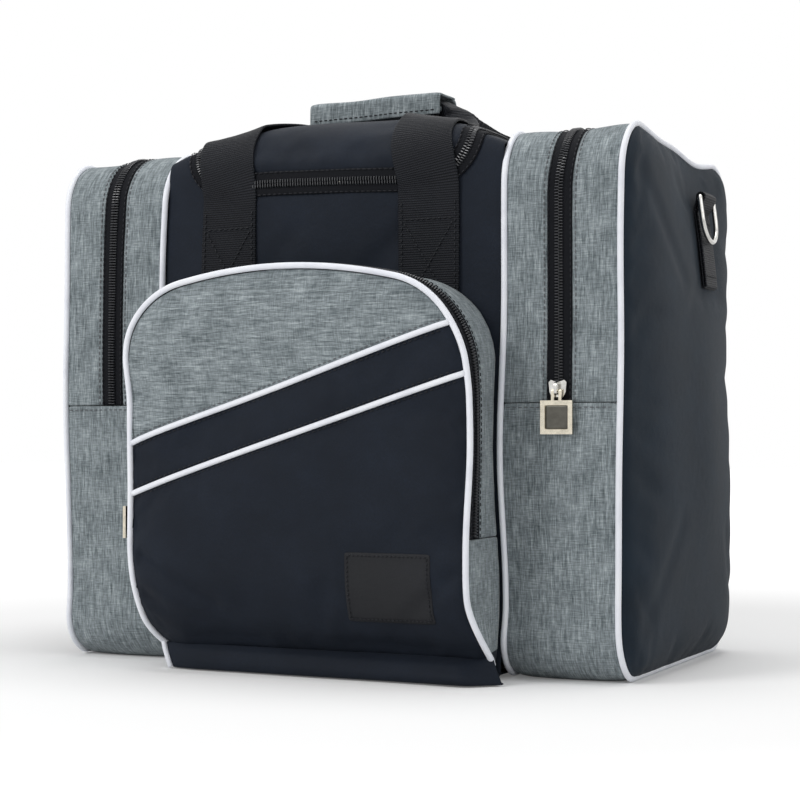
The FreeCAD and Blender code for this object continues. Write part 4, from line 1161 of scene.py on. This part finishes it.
def lid_zip():
    """Both halves of the lid's zip: tape, coil and stitches."""
    for which, sign, back, where in (("body", 1, LID_ZIP_END_Y, "bag"),
                                     ("lid", -1, LID_BACK_Y - 0.5 * MM, LID_BENDS)):
        edge, far = sign * ZIP_SLIT / 2, sign * TAPE_WIDTH / 2
        offsets = np.linspace(edge, far, 7)
        lines = [window_line(o, back) for o in offsets]
        count = min(len(line) for line in lines)
        grid = np.stack([resampled(line, count=count)[0] for line in lines], 1)
        points = skin(grid[..., 0], grid[..., 1], TAPE_RISE)[0]
        uv = [[(o, a) for o in offsets] for a in resampled(lines[0], count=count)[1]]
        put(cloth_piece("main_tape_" + which, lay(points), uv, thickness=1.0 * MM), TAPE, "zip_tape", where,
            "main_zip_%s_tape" % which)
        line = window_line(edge + sign * COIL_IN, back)
        base, out = skin(line[:, 0], line[:, 1], COIL_RISE)
        inward = sign * np.cross(out, unit(np.gradient(base, axis=0)))
        put(teeth("main_coil_" + which, lay(base), out, inward, COIL_PHASE[sign]), COIL, "zip_tape", where)
        line = window_line(far - sign * HEM, back)
        base, out = skin(line[:, 0], line[:, 1], SEAM_RISE)
        put(dashes("main_stitch_" + which, lay(base), out), THREAD, "zip_tape", where)


def base_cloth():
    """The bag's underside: rings of its outline, from the upper edge round to the middle."""
    corner = 8 * MM
    loop = filleted([(0, -MAIN_Y, 0), (MAIN_X, -MAIN_Y, corner), (MAIN_X, MAIN_Y, corner),
                     (-MAIN_X, MAIN_Y, corner), (-MAIN_X, -MAIN_Y, corner), (0, -MAIN_Y, 0)], 8)
    loop = resampled(loop, 6 * MM)[0][:-1]
    rings = [np.insert(loop * (1 - inset * MM / np.abs(loop).max(0)), 2, z * MM, axis=1)
             for inset, z in ((3, 3.6), (0.6, 2.6), (0.3, 1.4), (3, 0.3), (40, 0.9), (80, 0.6))]
    points = np.array(rings + [np.insert(loop * 0.02, 2, 0.6 * MM, axis=1)])
    uv = np.concatenate([points[..., :2], points[:, :1, :2]], 1)
    obj = face_out(clean(grid_piece("base_cloth", points, uv, wrap_cols=True)))
    put(baked(obj, 1.5 * MM, 1), BLACK, "black_cloth", "bag", "base_panel")


def foam_ring():
    """Foam block with a round seat for the ball."""
    half, floor, top = high("ball_ring"), low("ball_ring").z, high("ball_ring").z
    angles = np.linspace(0, 2 * math.pi, 96, endpoint=False)
    circle = np.stack([np.cos(angles), np.sin(angles)], 1)
    box = np.sign(circle) * np.abs(circle) ** 0.22 * arr(half.x, half.y)
    rounds = []
    for t, z in ((0, 0.2), (0, 20), (0, 31), (0.06, 35), (0.2, 36), (0.6, 36), (0.85, 35.8), (0.97, 33), (1, 28),
                 (1, 12), (1, 0.2)):
        flat = box * (1 - t) + 75 * MM * circle * t
        rounds.append(np.insert(flat, 2, floor + z * MM * (top - floor) / (36 * MM), axis=1))
    uv = np.zeros((len(rounds) + 1, len(angles) + 1, 2))
    foam = clean(grid_piece("foam_ring", rounds, uv, wrap_rows=True, wrap_cols=True))
    put(baked(foam, 0, 1), FOAM, "foam", "bag", "ball_ring")


def softened(node, width, material):
    """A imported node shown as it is, with small bevels."""
    bevel = frame["nodes"][node].modifiers.new("edges", "BEVEL")
    bevel.width, bevel.segments = width, 2
    dress(frame["nodes"][node], material)


main_cloth()
hinge_cloth()
lid_cloth()
lid_zip()
base_cloth()
foam_ring()
softened("base_board", 0.6 * MM, BOARD)


# ---- front pocket ------------------------------------------------------------------------------------------
def front_outline(inset, step=3 * MM):
    """Pocket outline in x and z, from the left foot corner over the top to the right one."""
    half = FRONT_X - inset
    apex = FRONT_TOP + FRONT_CROWN * (1 / math.cos(FRONT_SLOPE) - 1) - inset / math.cos(FRONT_SLOPE)
    shoulder = apex - half * math.tan(FRONT_SLOPE)
    foot = FRONT_FOOT + inset
    corners = [(-half + FRONT_FOOT_LEFT, foot, 0), (-half, foot, FRONT_FOOT_LEFT - inset),
               (-half, shoulder, FRONT_SHOULDER - inset), (0, apex, FRONT_CROWN - inset),
               (half, shoulder, FRONT_SHOULDER - inset), (half, foot, FRONT_FOOT_RIGHT - inset),
               (half - FRONT_FOOT_RIGHT, foot, 0)]
    return resampled(filleted(corners), step)


KNEE = filleted([(FRONT_Y, 0.3, 0), (FRONT_Y, FRONT_KNEE_Z, FRONT_KNEE_RADIUS), (FRONT_FOOT_Y, -3 * MM, 0)])


def front_y(z):
    """The pocket's front face at a height, before its folds."""
    return np.interp(z, KNEE[::-1, 1], KNEE[::-1, 0])


EDGE_LINE = front_outline(FRONT_EDGE)[0]
EDGE_LOOP = np.concatenate([EDGE_LINE, np.stack([np.linspace(EDGE_LINE[-1][0], EDGE_LINE[0][0], 40),
                                                 np.full(40, EDGE_LINE[0][1])], 1)])


def edge_gap(x, z):
    """Distance of points of the front face from its outline."""
    flat = np.stack([np.ravel(x), np.ravel(z)], 1)
    gap = np.min(np.hypot(flat[:, None, 0] - EDGE_LOOP[None, :, 0], flat[:, None, 1] - EDGE_LOOP[None, :, 1]), 1)
    return gap.reshape(np.shape(x))


def pocket_moved(points):
    """The pocket leans to the left at its top, and its foot is drawn to the right, with the bag's own slack."""
    points = np.array(points, float)
    x, y, z = points[..., 0], points[..., 1], points[..., 2]
    reach = np.clip((-MAIN_Y - y) / (-MAIN_Y - front_y(z)), 0, 1.2)
    right, left = ramp(x, 0.07, 0.122), ramp(-x, 0.07, 0.122)
    shift = -4.5 * MM * ramp(z, 0.18, 0.235)
    shift = shift + right * (3.5 * MM * hump(z, 0.14, 0.045) + 9.0 * MM * (1 - ramp(z, 0.01, 0.055)))
    shift = shift + left * 8.0 * MM * (1 - ramp(z, 0.015, 0.085))
    points[..., 0] = x + shift * reach
    return moved(points)


def front_face(x, z, lift=0.0):
    """Points of the pocket's front cloth with its fullness and creases."""
    x, z = np.broadcast_arrays(np.asarray(x, float), np.asarray(z, float))
    y = front_y(z)
    flat = np.stack([x, y, z], -1)
    gap = edge_gap(x, z)
    body = 1 - (1 - np.clip(gap / (42 * MM), 0, 1)) ** 2.4
    rise = 3.6 * MM * body + 0.9 * MM * waves(flat, 0.14, 8) * body
    crease = fold(flat, (-0.112, FRONT_Y, 0.075), (-0.058, FRONT_Y, 0.045), 8 * MM, -3.4 * MM)
    crease += fold(flat, (-0.112, FRONT_Y, 0.05), (-0.07, FRONT_Y, 0.024), 7 * MM, -2.8 * MM)
    crease += fold(flat, (0.112, FRONT_Y, 0.07), (0.07, FRONT_Y, 0.03), 8 * MM, -1.6 * MM)
    crease += fold(flat, (-0.08, FRONT_Y + 0.02, 0.026), (0.09, FRONT_Y + 0.02, 0.024),
                   7 * MM, -1.8 * MM, 0.15)
    crease += 1.6 * MM * ramp(z, 0.0215, 0.0185) - 0.8 * MM * hump(z, 0.022, 0.0025)
    crease += 0.5 * MM * np.exp(-(gap / (9 * MM)) ** 2) * puckers(x + z, 3.0, 24 * MM)
    y = y - (rise + crease) * ramp(gap, 0, 7 * MM) + 1.0 * MM * np.exp(-(gap / (2 * MM)) ** 2)
    return np.stack([x, y - lift, z], -1)


STRIPE_SLOPE = 86.0 / (2 * (122 + 10))    # the seams climb 86 mm from 10 mm outside one edge to the other
STRIPE_EDGE = -(FRONT_X + 10 * MM)
STRIPES = [148 * MM, 114 * MM]      # middles of the two seams at the pocket's left edge


def stripe_z(x, k):
    """Height of one of the two slanted seams."""
    return STRIPES[k] + STRIPE_SLOPE * (np.asarray(x, float) - STRIPE_EDGE)


FLAP_BENDS = ("bag", "front_pocket_flap", (0, FRONT_Y, FRONT_FOLD_Z - 12 * MM),
              (0, FRONT_Y, FRONT_FOLD_Z + 33 * MM))


def front_row(name, x, z, lift, *lengths):
    """Stitches over the pocket's face."""
    row = front_face(x, z, lift)
    return dashes(name, pocket_moved(row), np.zeros_like(row) + arr(0, -1, 0), *lengths)


def front_grid():
    """x and z of the front cloth's grid, between the pocket's foot and its crown."""
    upper = EDGE_LINE[EDGE_LINE[:, 1] > 0.18]
    x = np.maximum.accumulate(upper[:, 0] + np.arange(len(upper)) * 1e-7)
    x, z_high = resampled(np.stack([x, upper[:, 1]], 1), 4.2 * MM)[0].T
    radius = np.where(x < 0, FRONT_FOOT_LEFT, FRONT_FOOT_RIGHT) - FRONT_EDGE
    inner = np.clip(np.abs(x) - (FRONT_X - FRONT_EDGE - radius), 0, radius)
    z_low = FRONT_FOOT + FRONT_EDGE + radius - np.sqrt(radius ** 2 - inner ** 2)
    v = np.linspace(0, 1, 64)
    return np.repeat(x[None], 64, 0), z_low[None] + v[:, None] * (z_high - z_low)[None]


def front_panels():
    """The grey and the black cloth of the face, cut from one surface along the upper seam."""
    x, z = front_grid()
    in_label = (np.abs(x - LABEL[0]) < 34 * MM) & (np.abs(z - LABEL[1]) < 27 * MM)
    near_seam = np.minimum(np.abs(z - stripe_z(x, 0)), np.abs(z - stripe_z(x, 1))) < 5 * MM
    held = rim(x.shape, 2, 2, 2) | in_label | near_seam
    points = pressed(front_face(x, z), held, 1.2, 1.8 * MM, 0.01, (0, -1, 0))
    normal = Vector((-STRIPE_SLOPE, 0, 1)).normalized()
    cut = Vector((STRIPE_EDGE, 0, STRIPES[0]))
    for name, above, material, slot, nodes in (
            ("front_grey", True, HEATHER_FRONT, "grey_heather", ["front_pocket_grey_panel"]),
            ("front_black", False, BLACK, "black_cloth", ["front_pocket_black_panel", "front_pocket_lower_panel"])):
        obj = edited(grid_piece(name, points, np.stack([x, z], -1)), lambda bm: bmesh.ops.bisect_plane(
            bm, geom=bm.verts[:] + bm.edges[:] + bm.faces[:], plane_co=cut, plane_no=normal,
            clear_inner=above, clear_outer=not above))
        for vertex in obj.data.vertices:
            vertex.co = Vector(pocket_moved(np.array(vertex.co)))
        put(baked(face_out(obj, (0, -0.1, 0.14)), CLOTH_THICK, 1), material, slot, FLAP_BENDS, *nodes)


def front_seams():
    """The two slanted cords over the face, each between two rows of stitches."""
    edge = front_outline(1.4 * MM, 0.5 * MM)[0]
    edge = edge[edge[:, 0] > 0]
    for k, nodes in ((0, ["front_pocket_seam_piping"]), (1, [])):
        end = edge[np.argmin(np.abs(edge[:, 1] - stripe_z(edge[:, 0], k)))][0]
        x = np.linspace(FRONT_EDGE - FRONT_X - 0.3 * MM, end, 90)
        z = stripe_z(x, k)
        cord = tube("seam_cord_%d" % k, pocket_moved(front_face(x, z, 0.6 * MM)), SEAM_CORD, settle=False,
                    facing=(0, -1, 0))
        put(cord, WHITE, "white_piping", FLAP_BENDS, *nodes)
        for which, side in (("down", -1), ("up", 1)):
            row = front_row("seam_stitch_%d_%s" % (k, which), x[:-2], z[:-2] + side * 3.6 * MM, 0.1 * MM)
            put(row, GREY_THREAD if side > 0 and k == 0 else THREAD, "black_cloth", FLAP_BENDS)


LABEL = (68 * MM, 60.5 * MM)
LABEL_HALF = (30 * MM, 22.5 * MM)


def label():
    """The blank woven patch, with stitches along its four edges."""
    u, v = np.meshgrid(np.linspace(-1, 1, 33), np.linspace(-1, 1, 25))
    shrink = np.where(np.abs(u) + np.abs(v) > 1.93, 0.985, 1.0)
    x, z = LABEL[0] + u * LABEL_HALF[0] * shrink, LABEL[1] + v * LABEL_HALF[1] * shrink
    points = front_face(x, z)
    points[..., 1] -= 1.0 * MM - 0.5 * MM * ramp(np.maximum(np.abs(u), np.abs(v)), 0.9, 1.0)
    patch = cloth_piece("patch", pocket_moved(points), np.stack([x, z], -1), (0, -0.1, 0.06), 0.9 * MM)
    put(patch, PATCH, "black_patch", FLAP_BENDS, "label_patch")
    w, h = [half - 2.2 * MM for half in LABEL_HALF]
    corners = [(-w, -h), (w, -h), (w, h), (-w, h), (-w, -h)]
    t = np.linspace(0, 1, 20)
    for k, (a, b) in enumerate(zip(corners, corners[1:])):
        x, z = [LABEL[i] + a[i] + t * (b[i] - a[i]) for i in (0, 1)]
        put(front_row("patch_stitch_%d" % k, x, z, 1.15 * MM, 1.9 * MM, 0.9 * MM), THREAD, "black_patch",
            FLAP_BENDS)


FOOT_SEAM_Z = 17.5 * MM
FOOT_PROFILE = [(0, 1, 0), (0.6, 0.75, 0.5), (1.0, 0.3, 0.3), (0.9, 0.0, 0.15), (-0.9, 0.0, 0)]


def foot_panel():
    """Black strip under the pocket's foot seam: it bulges forward to the floor and turns back below."""
    x = np.linspace(-FRONT_X + 14 * MM, FRONT_X + 10 * MM, 68)
    profile = resampled(filleted(FOOT_PROFILE), count=24)[0]
    seam = front_face(np.clip(x, -FRONT_X + 5 * MM, FRONT_X - 5 * MM), np.full(len(x), FOOT_SEAM_Z))
    reach = (9 * MM + 6 * MM * x / FRONT_X) * ramp(x, -FRONT_X - 4 * MM, -FRONT_X + 40 * MM) + 1 * MM
    reach *= 1 - 0.95 * ramp(x, FRONT_X - 8 * MM, FRONT_X + 10 * MM)
    points = np.zeros((len(x), len(profile), 3))
    points[..., 0] = x[:, None] + 7 * MM * (1 - profile[None, :, 1])
    points[..., 1] = seam[:, 1:2] + 1.4 * MM - reach[:, None] * profile[None, :, 0]
    points[..., 2] = 0.4 * MM + (FOOT_SEAM_Z - 0.4 * MM) * profile[None, :, 1]
    put(cloth_piece("foot_panel", points, points[..., [0, 2]], (0, -0.1, 0.01)), BLACK, "black_cloth", "bag")
    down = points[0, :np.argmin(profile[:, 1])] + arr(0, -1.0 * MM, 0)
    cord = tube("foot_piping", resampled(down, 1.5 * MM)[0], SEAM_CORD, settle=False, facing=(-1, 0, 0))
    put(cord, WHITE, "white_piping", "bag")


def front_path(part, step):
    """The outline above or below the fold line; the lower one runs under the foot."""
    line = front_outline(0, 1.0 * MM)[0]
    if part == "upper":
        return resampled(line[line[:, 1] > FRONT_FOLD_Z], step)
    half = len(line) // 2
    left, right = line[:half], line[half:]
    left, right = left[left[:, 1] <= FRONT_FOLD_Z + 1 * MM], right[right[:, 1] <= FRONT_FOLD_Z + 1 * MM]
    return resampled(np.concatenate([left[::-1], right[::-1]]), step)


def front_strip(name, part, start, end, level, lift, cols=9, thickness=CLOTH_THICK):
    """Strip round the pocket's side, between two distances behind its front face, or back to the compartment."""
    path, s = front_path(part, 4 * MM)
    normal = path_out(path, (0, 0.14))
    w = np.linspace(0, 1, cols)
    y0 = front_y(path[:, 1]) + start
    y1 = np.full(len(path), -MAIN_Y + 0.5 * MM) if end is None else y0 - start + end
    points = np.zeros((len(path), cols, 3))
    points[..., 1] = np.minimum(y0[:, None] + (y1 - y0)[:, None] * w[None], -MAIN_Y + 0.5 * MM)
    rise = level + lift(s[:, None], w[None])
    points[..., 0] = path[:, :1] + normal[:, :1] * rise
    points[..., 2] = path[:, 1:] + normal[:, 1:] * rise
    uv = [[(p[1], b) for p in row] for row, b in zip(points, s)]
    return cloth_piece(name, pocket_moved(points), uv, (0, -0.14, 0.14), thickness)


def front_line(offset, level):
    """A line over the pocket's side at a distance behind its face, with its outward directions."""
    path, _ = front_path("upper", 3 * MM)
    normal = path_out(path, (0, 0.14))
    points = np.insert(path + normal * level, 1, front_y(path[:, 1]) + offset, axis=1)
    return pocket_moved(points), np.insert(normal, 1, 0, axis=1)


def front_sides():
    """Gussets, zip and edge piping of the front pocket."""
    middle = PIPING_IN + TAPE_WIDTH / 2
    gusset = front_strip("front_gusset", "upper", PIPING_IN + TAPE_WIDTH - 2 * MM, None, -0.4 * MM,
                         strip_lift(0.8 * MM, 5.0))
    put(gusset, HEATHER, "grey_heather", "bag", "front_pocket_gusset")
    foot = front_strip("front_foot_gusset", "lower", PIPING_IN - 1 * MM, None, 0.0,
                       strip_lift(0.9 * MM, 6.0), 13)
    put(foot, (HEATHER, BLACK), "black_cloth", "bag", "front_pocket_foot_gusset")
    for polygon in foot.data.polygons:
        if polygon.center.z < FRONT_FOOT + 15 * MM:
            polygon.material_index = 1
    for which, sign, where in (("front", -1, FLAP_BENDS), ("back", 1, "bag")):
        near, far = middle + sign * ZIP_SLIT / 2, middle + sign * TAPE_WIDTH / 2
        tape = front_strip("front_tape_" + which, "upper", min(near, far), max(near, far), TAPE_RISE,
                           lambda s, w: 0 * s + 0 * w, 7, 1.0 * MM)
        put(tape, TAPE, "zip_tape", where, "front_pocket_zip_%s_tape" % which)
        line, out = front_line(near + sign * COIL_IN, COIL_RISE)
        reach = np.zeros_like(line) + arr(0, -sign, 0)
        put(teeth("front_coil_" + which, line, out, reach, COIL_PHASE[sign]), COIL, "zip_tape", where)
        put(dashes("front_stitch_" + which, *front_line(far - sign * HEM, SEAM_RISE)), THREAD,
            "zip_tape", where)
    line = front_outline(0.5 * MM, 3.5 * MM)[0]
    path = np.insert(line, 1, front_y(line[:, 1]) + 0.3 * MM, axis=1)
    put(tube("front_piping", pocket_moved(path), EDGE_CORD, settle=False), WHITE, "white_piping", FLAP_BENDS,
        "front_pocket_upper_piping", "front_pocket_lower_piping")


front_panels()
front_seams()
foot_panel()
label()
front_sides()


# ---- handles -----------------------------------------------------------------------------------------------
WEB_THICK, RIB_PITCH = 2.2 * MM, 3.1 * MM
LEG_STITCHES = [      # start and end of each row, x from the leg's middle and z, in millimetres
    (-17, 238, 17, 238), (-17, 300, 17, 300), (-17, 240, 17, 298), (-17, 298, 17, 240),
    (-18.5, 236, -18.5, 312), (18.5, 236, 18.5, 312),
]
TURN_Y, RAMP_Y = 90 * MM, 46 * MM
DRIFT = 12 * MM
HANDLE_SHIFT = -6 * MM       # both handles lean a little towards the left
WRAP_SHIFT = -13 * MM


def leg_points(sign):
    """One leg's middle line, outward directions and half widths, from its sewn foot to the grip."""
    start, end = float(s_of_front(WEB_FOOT_Z)), float(s_of_roof(-RAMP_Y))
    s = np.linspace(start, end, 54)
    base = skin(np.zeros(54), s)[0]
    drift = DRIFT * ramp(base[:, 1], -TURN_Y - 10 * MM, -RAMP_Y)
    x = sign * (LEG_X - drift) + HANDLE_SHIFT * ramp(base[:, 2], WEB_FOLD_Z, WEB_FOLD_Z + 40 * MM)
    off = WEB_THICK / 2 + 0.2 * MM + 0.9 * MM * ramp(base[:, 2], WEB_FOLD_Z, WEB_FOLD_Z + 12 * MM)
    points, normal = skin(x, s, off)
    tail = [(60, -32, 373.6), (59.5, -20, 374.8), (58, -11, 378.5), (53, -6.5, 387), (42, -6.8, 392.8)]
    tail = np.array([(sign * a + HANDLE_SHIFT / MM, b, c) for a, b, c in tail]) * MM
    out = np.concatenate([normal, unit(np.array([(0, -0.2, 1)] * 5))])
    width = np.concatenate([np.full(54, LEG_WIDTH / 2), np.array([19.5, 17, 13, 8.5, 6.4]) * MM])
    thick = np.concatenate([np.full(54, WEB_THICK / 2), np.array([1.5, 2.4, 3.6, 4.6, 5.0]) * MM])
    return np.concatenate([points, tail]), out, width, thick


def handle(name, back):
    """One handle: two ribbed legs and the folded grip between them, in one piece of webbing."""
    sign = 1 if back else -1
    columns = np.column_stack([np.concatenate([a, b[::-1]]) for a, b in zip(leg_points(-1), leg_points(1))])
    along = np.concatenate([[0], np.cumsum(np.linalg.norm(np.diff(columns[:, :3], axis=0), axis=1))])
    s = np.linspace(0, along[-1], 420)
    columns = np.stack([np.interp(s, along, column) for column in columns.T], 1)
    for _ in range(4):
        columns[1:-1] = (columns[:-2] + 2 * columns[1:-1] + columns[2:]) / 4
    side, out = frames_of(columns[:, :3], unit(columns[:, 3:6]))
    rib = 1 + 0.05 * np.sin(s * 2 * math.pi / RIB_PITCH)
    grid, uv = ribbon(columns[:, :3], side, out, columns[:, 6], columns[:, 7] * rib, 28, 7.0)
    grid = grid * arr(1, -sign, 1)
    fade = 1 - ramp(grid[..., 2], WEB_FOLD_Z, WEB_FOLD_Z + 50 * MM) * 0.6
    grid = grid + slack(grid) * fade[..., None]
    start, end = [(0, sign * MAIN_Y, z) for z in (0.313, 0.335)]
    put(clean(piece(name + "_strap", *strip_part(grid, uv))), WEB, "black_webbing", ("bag", name, start, end),
        "rear_sewn_webbing" if back else "front_sewn_webbing", name + "_webbing")
    t = np.linspace(0, 1, 24)
    for leg, which in ((-1, "left"), (1, "right")):
        for k, (x0, z0, x1, z1) in enumerate(LEG_STITCHES):
            x, z = leg * LEG_X + (x0 + t * (x1 - x0)) * MM, (z0 + t * (z1 - z0)) * MM
            line, normal = [v * arr(1, -sign, 1) for v in skin(x, s_of_front(z), WEB_THICK + 0.35 * MM)]
            put(dashes("%s_stitch_%s_%d" % (name, which, k), moved(line), normal), THREAD,
                "black_webbing", "bag")


def wrap():
    """Padded wrap round both grips, closed by a flap over its top and front."""
    half_x, half_y, radius = 52 * MM, 15.5 * MM, 5 * MM
    low_z, high_z = GRIP_Z - 7 * MM, GRIP_Z + 7 * MM
    sleeve = filleted([(-half_y, low_z + 4.5 * MM, 0), (-half_y, low_z, radius), (half_y, low_z, radius),
                       (half_y, high_z, radius), (half_y - 7 * MM, high_z, 0)], 8)
    flap = filleted([(half_y - 3.0 * MM, high_z + 0.3 * MM, 0), (-half_y - 0.6 * MM, high_z + 0.6 * MM, 2.6 * MM),
                     (-half_y - 1.6 * MM, low_z - 0.8 * MM, 0)], 8)
    for name, line, thickness, seed, lift, body, node in (
            ("grip_sleeve", sleeve, 2.5 * MM, 2, 0.0, "rear_handle", "grip_wrap"),
            ("grip_flap", flap, 2.0 * MM, 3, 0.9 * MM, "wrap_flap", "grip_wrap_flap")):
        path, s = resampled(line, 1.6 * MM)
        normal = path_out(path, (0, GRIP_Z))
        x = np.linspace(-half_x, half_x, 60)
        points = np.zeros((len(path), 60, 3))
        points[..., 0] = x + WRAP_SHIFT
        wave = 0.5 * MM * waves(np.stack(np.broadcast_arrays(x[None], path[:, :1], path[:, 1:]), -1), 0.05, seed)
        end = np.exp(-((half_x - np.abs(x)) / (3 * MM)) ** 2) * 0.5 * MM
        points[..., 1:] = path[:, None] + normal[:, None] * (lift + wave - end)[..., None]
        points[..., 2] += 1.4 * MM * (x / half_x)[None]
        obj = cloth_piece(name, points, [[(a, b) for a in x] for b in s], (0, 0, GRIP_Z), thickness)
        put(obj, HEATHER, "grey_heather", body, node)
        for k, i in enumerate((2, len(path) - 3)):
            out = np.insert(normal[i], 0, 0)
            row = dashes("%s_hem_%d" % (name, k), points[i, 2:-2] + out * 0.1 * MM, np.zeros((56, 3)) + out)
            put(row, THREAD, "grey_heather", body)


handle("front_handle", False)
handle("rear_handle", True)
wrap()


# ---- zip sliders and pulls: imported metal with softened edges, and a dark floor in each pull --------------
PLACES = {
    "right_pocket": ((ZIP_X, -HALF_DEPTH, SEAM_Z + 9 * MM), 0.0, 0.0, 0.0),
    "left_pocket": ((-ZIP_X, HALF_DEPTH, SEAM_Z + 9 * MM), 180.0, 0.0, 0.0),
    "front_pocket": ((-FRONT_X, FRONT_Y + PIPING_IN + TAPE_WIDTH / 2, FRONT_FOLD_Z + 25 * MM), -90.0, 0.0, 0.0),
    "main": ((-LID_ZIP_X, 89 * MM, CROWN_Z - ARCH_RADIUS + math.sqrt(ARCH_RADIUS ** 2 - LID_ZIP_X ** 2)), 0.0,
             -90.0, -math.degrees(math.asin(LID_ZIP_X / ARCH_RADIUS))),
}
PULL_FLOOR = (0.0, -4.7 * MM, -18.35 * MM)       # middle of the recess in the slider's own frame
PULL_FLOOR_HALF = 7.6 * MM
PIN_Z = -1.4 * MM


def turned(points, axis, degrees):
    a = math.radians(degrees)
    c, s = math.cos(a), math.sin(a)
    matrix = {"x": [[1, 0, 0], [0, c, -s], [0, s, c]], "y": [[c, 0, s], [0, 1, 0], [-s, 0, c]],
              "z": [[c, -s, 0], [s, c, 0], [0, 0, 1]]}[axis]
    return points @ np.array(matrix).T


def metalwork():
    for name, (position, turn_z, lay_back, lean_y) in PLACES.items():
        softened(name + "_slider", 0.35 * MM, NICKEL)
        softened(name + "_pull", 0.35 * MM, GOLD)
        h = PULL_FLOOR_HALF
        u, v = np.meshgrid(np.linspace(-1, 1, 13), np.linspace(-1, 1, 13))
        corner = np.where(np.abs(u * v) > 0.9, 0.97, 1.0)
        dish = 0.12 * MM * (1 - np.maximum(np.abs(u), np.abs(v)) ** 4)
        points = np.stack([u * h * corner, PULL_FLOOR[1] - 0.16 * MM + dish,
                           PULL_FLOOR[2] + v * h * corner], -1)
        if lay_back:
            points[..., 2] = 2 * PIN_Z - points[..., 2]
        for axis, degrees in (("x", lay_back), ("y", lean_y), ("z", turn_z)):
            points = turned(points, axis, degrees)
        points = points + np.array(position)
        inlay = clean(baked(grid_piece(name + "_pull_floor", points, np.stack([u * h, v * h], -1)), 0.14 * MM, 0))
        put(inlay, DARK_METAL, "black_patch", name + "_pull")


metalwork()


# ---- floor, light and camera -------------------------------------------------------------------------------
def studio():
    bpy.ops.mesh.primitive_plane_add(size=14, location=(0, 0, -0.0005))
    floor = bpy.context.object
    floor.name = "floor"
    n = Nodes("floor", (0.9, 0.9, 0.9), 0.9, specular=0.0)
    emission = n.node("Emission")
    emission.inputs["Color"].default_value = (1, 1, 1, 1)
    path = n.node("LightPath")
    far = n.node("VectorMath", operation="LENGTH")
    n.link(n.coords.outputs["Object"], far.inputs[0])
    # The camera sees the floor glow weakly within 0.45 m of the bag and fully white from 2.2 m on: the real shadow
    # shows near the bag, and the weaker glow there also paints a broad grey shade round it
    glow = n.node("MapRange")
    for key, value in (("From Min", 0.45), ("From Max", 2.2), ("To Min", FLOOR_GLOW), ("To Max", 1.0)):
        glow.inputs[key].default_value = value
    n.link(far.outputs["Value"], glow.inputs["Value"])
    seen = n.math("MULTIPLY", path.outputs["Is Camera Ray"], glow.outputs[0])
    n.link(seen, emission.inputs["Strength"])
    added = n.node("AddShader")
    n.link(n.shader.outputs[0], added.inputs[0])
    n.link(emission.outputs[0], added.inputs[1])
    output = next(x for x in n.tree.nodes if x.type == "OUTPUT_MATERIAL")
    n.link(added.outputs[0], output.inputs["Surface"])
    dress(floor, n.material)

    world = bpy.data.worlds.new("studio")
    bpy.context.scene.world = world
    world.use_nodes = True
    tree = world.node_tree
    background = tree.nodes["Background"]
    path = tree.nodes.new("ShaderNodeLightPath")
    largest = tree.nodes.new("ShaderNodeMath")
    largest.operation = "MAXIMUM"
    tree.links.new(path.outputs["Is Camera Ray"], largest.inputs[0])
    tree.links.new(path.outputs["Is Glossy Ray"], largest.inputs[1])
    mix = tree.nodes.new("ShaderNodeMapRange")
    mix.inputs["To Min"].default_value = AMBIENT
    mix.inputs["To Max"].default_value = 1.0
    tree.links.new(largest.outputs[0], mix.inputs["Value"])
    background.inputs["Color"].default_value = (1, 1, 1, 1)
    tree.links.new(mix.outputs[0], background.inputs["Strength"])

    for name, place, size, power in LAMPS:
        data = bpy.data.lights.new(name, "AREA")
        data.shape, data.size, data.energy = "DISK", size, power
        lamp = bpy.data.objects.new(name, data)
        bpy.context.scene.collection.objects.link(lamp)
        lamp.location = place
        aim = Vector((0, 0, 0.2)) - Vector(place)
        lamp.rotation_euler = aim.to_track_quat("-Z", "Y").to_euler()

    data = bpy.data.cameras.new("camera")
    data.lens, data.sensor_width = 87.35, 36
    camera = bpy.data.objects.new("camera", data)
    bpy.context.scene.collection.objects.link(camera)
    camera.location = (0.586, -1.286, 0.1589)
    azimuth, rise = math.radians(24.494), math.radians(0.965)
    look = Vector((-math.sin(azimuth) * math.cos(rise), math.cos(azimuth) * math.cos(rise), math.sin(rise)))
    camera.rotation_euler = look.to_track_quat("-Z", "Y").to_euler()
    bpy.context.scene.camera = camera
    bpy.context.scene.view_settings.view_transform = "Standard"


# camera-ray glow of the floor next to the bag; kept low, it paints a broad shade round the bag besides its real
# shadow
FLOOR_GLOW = 0.1
AMBIENT = 0.46
LAMPS = [("key", (-1.4, -2.2, 1.7), 1.4, 32), ("side", (2.4, -0.6, 1.3), 1.5, 6.5),
         ("top", (0.2, 0.2, 2.4), 1.6, 22)]
studio()
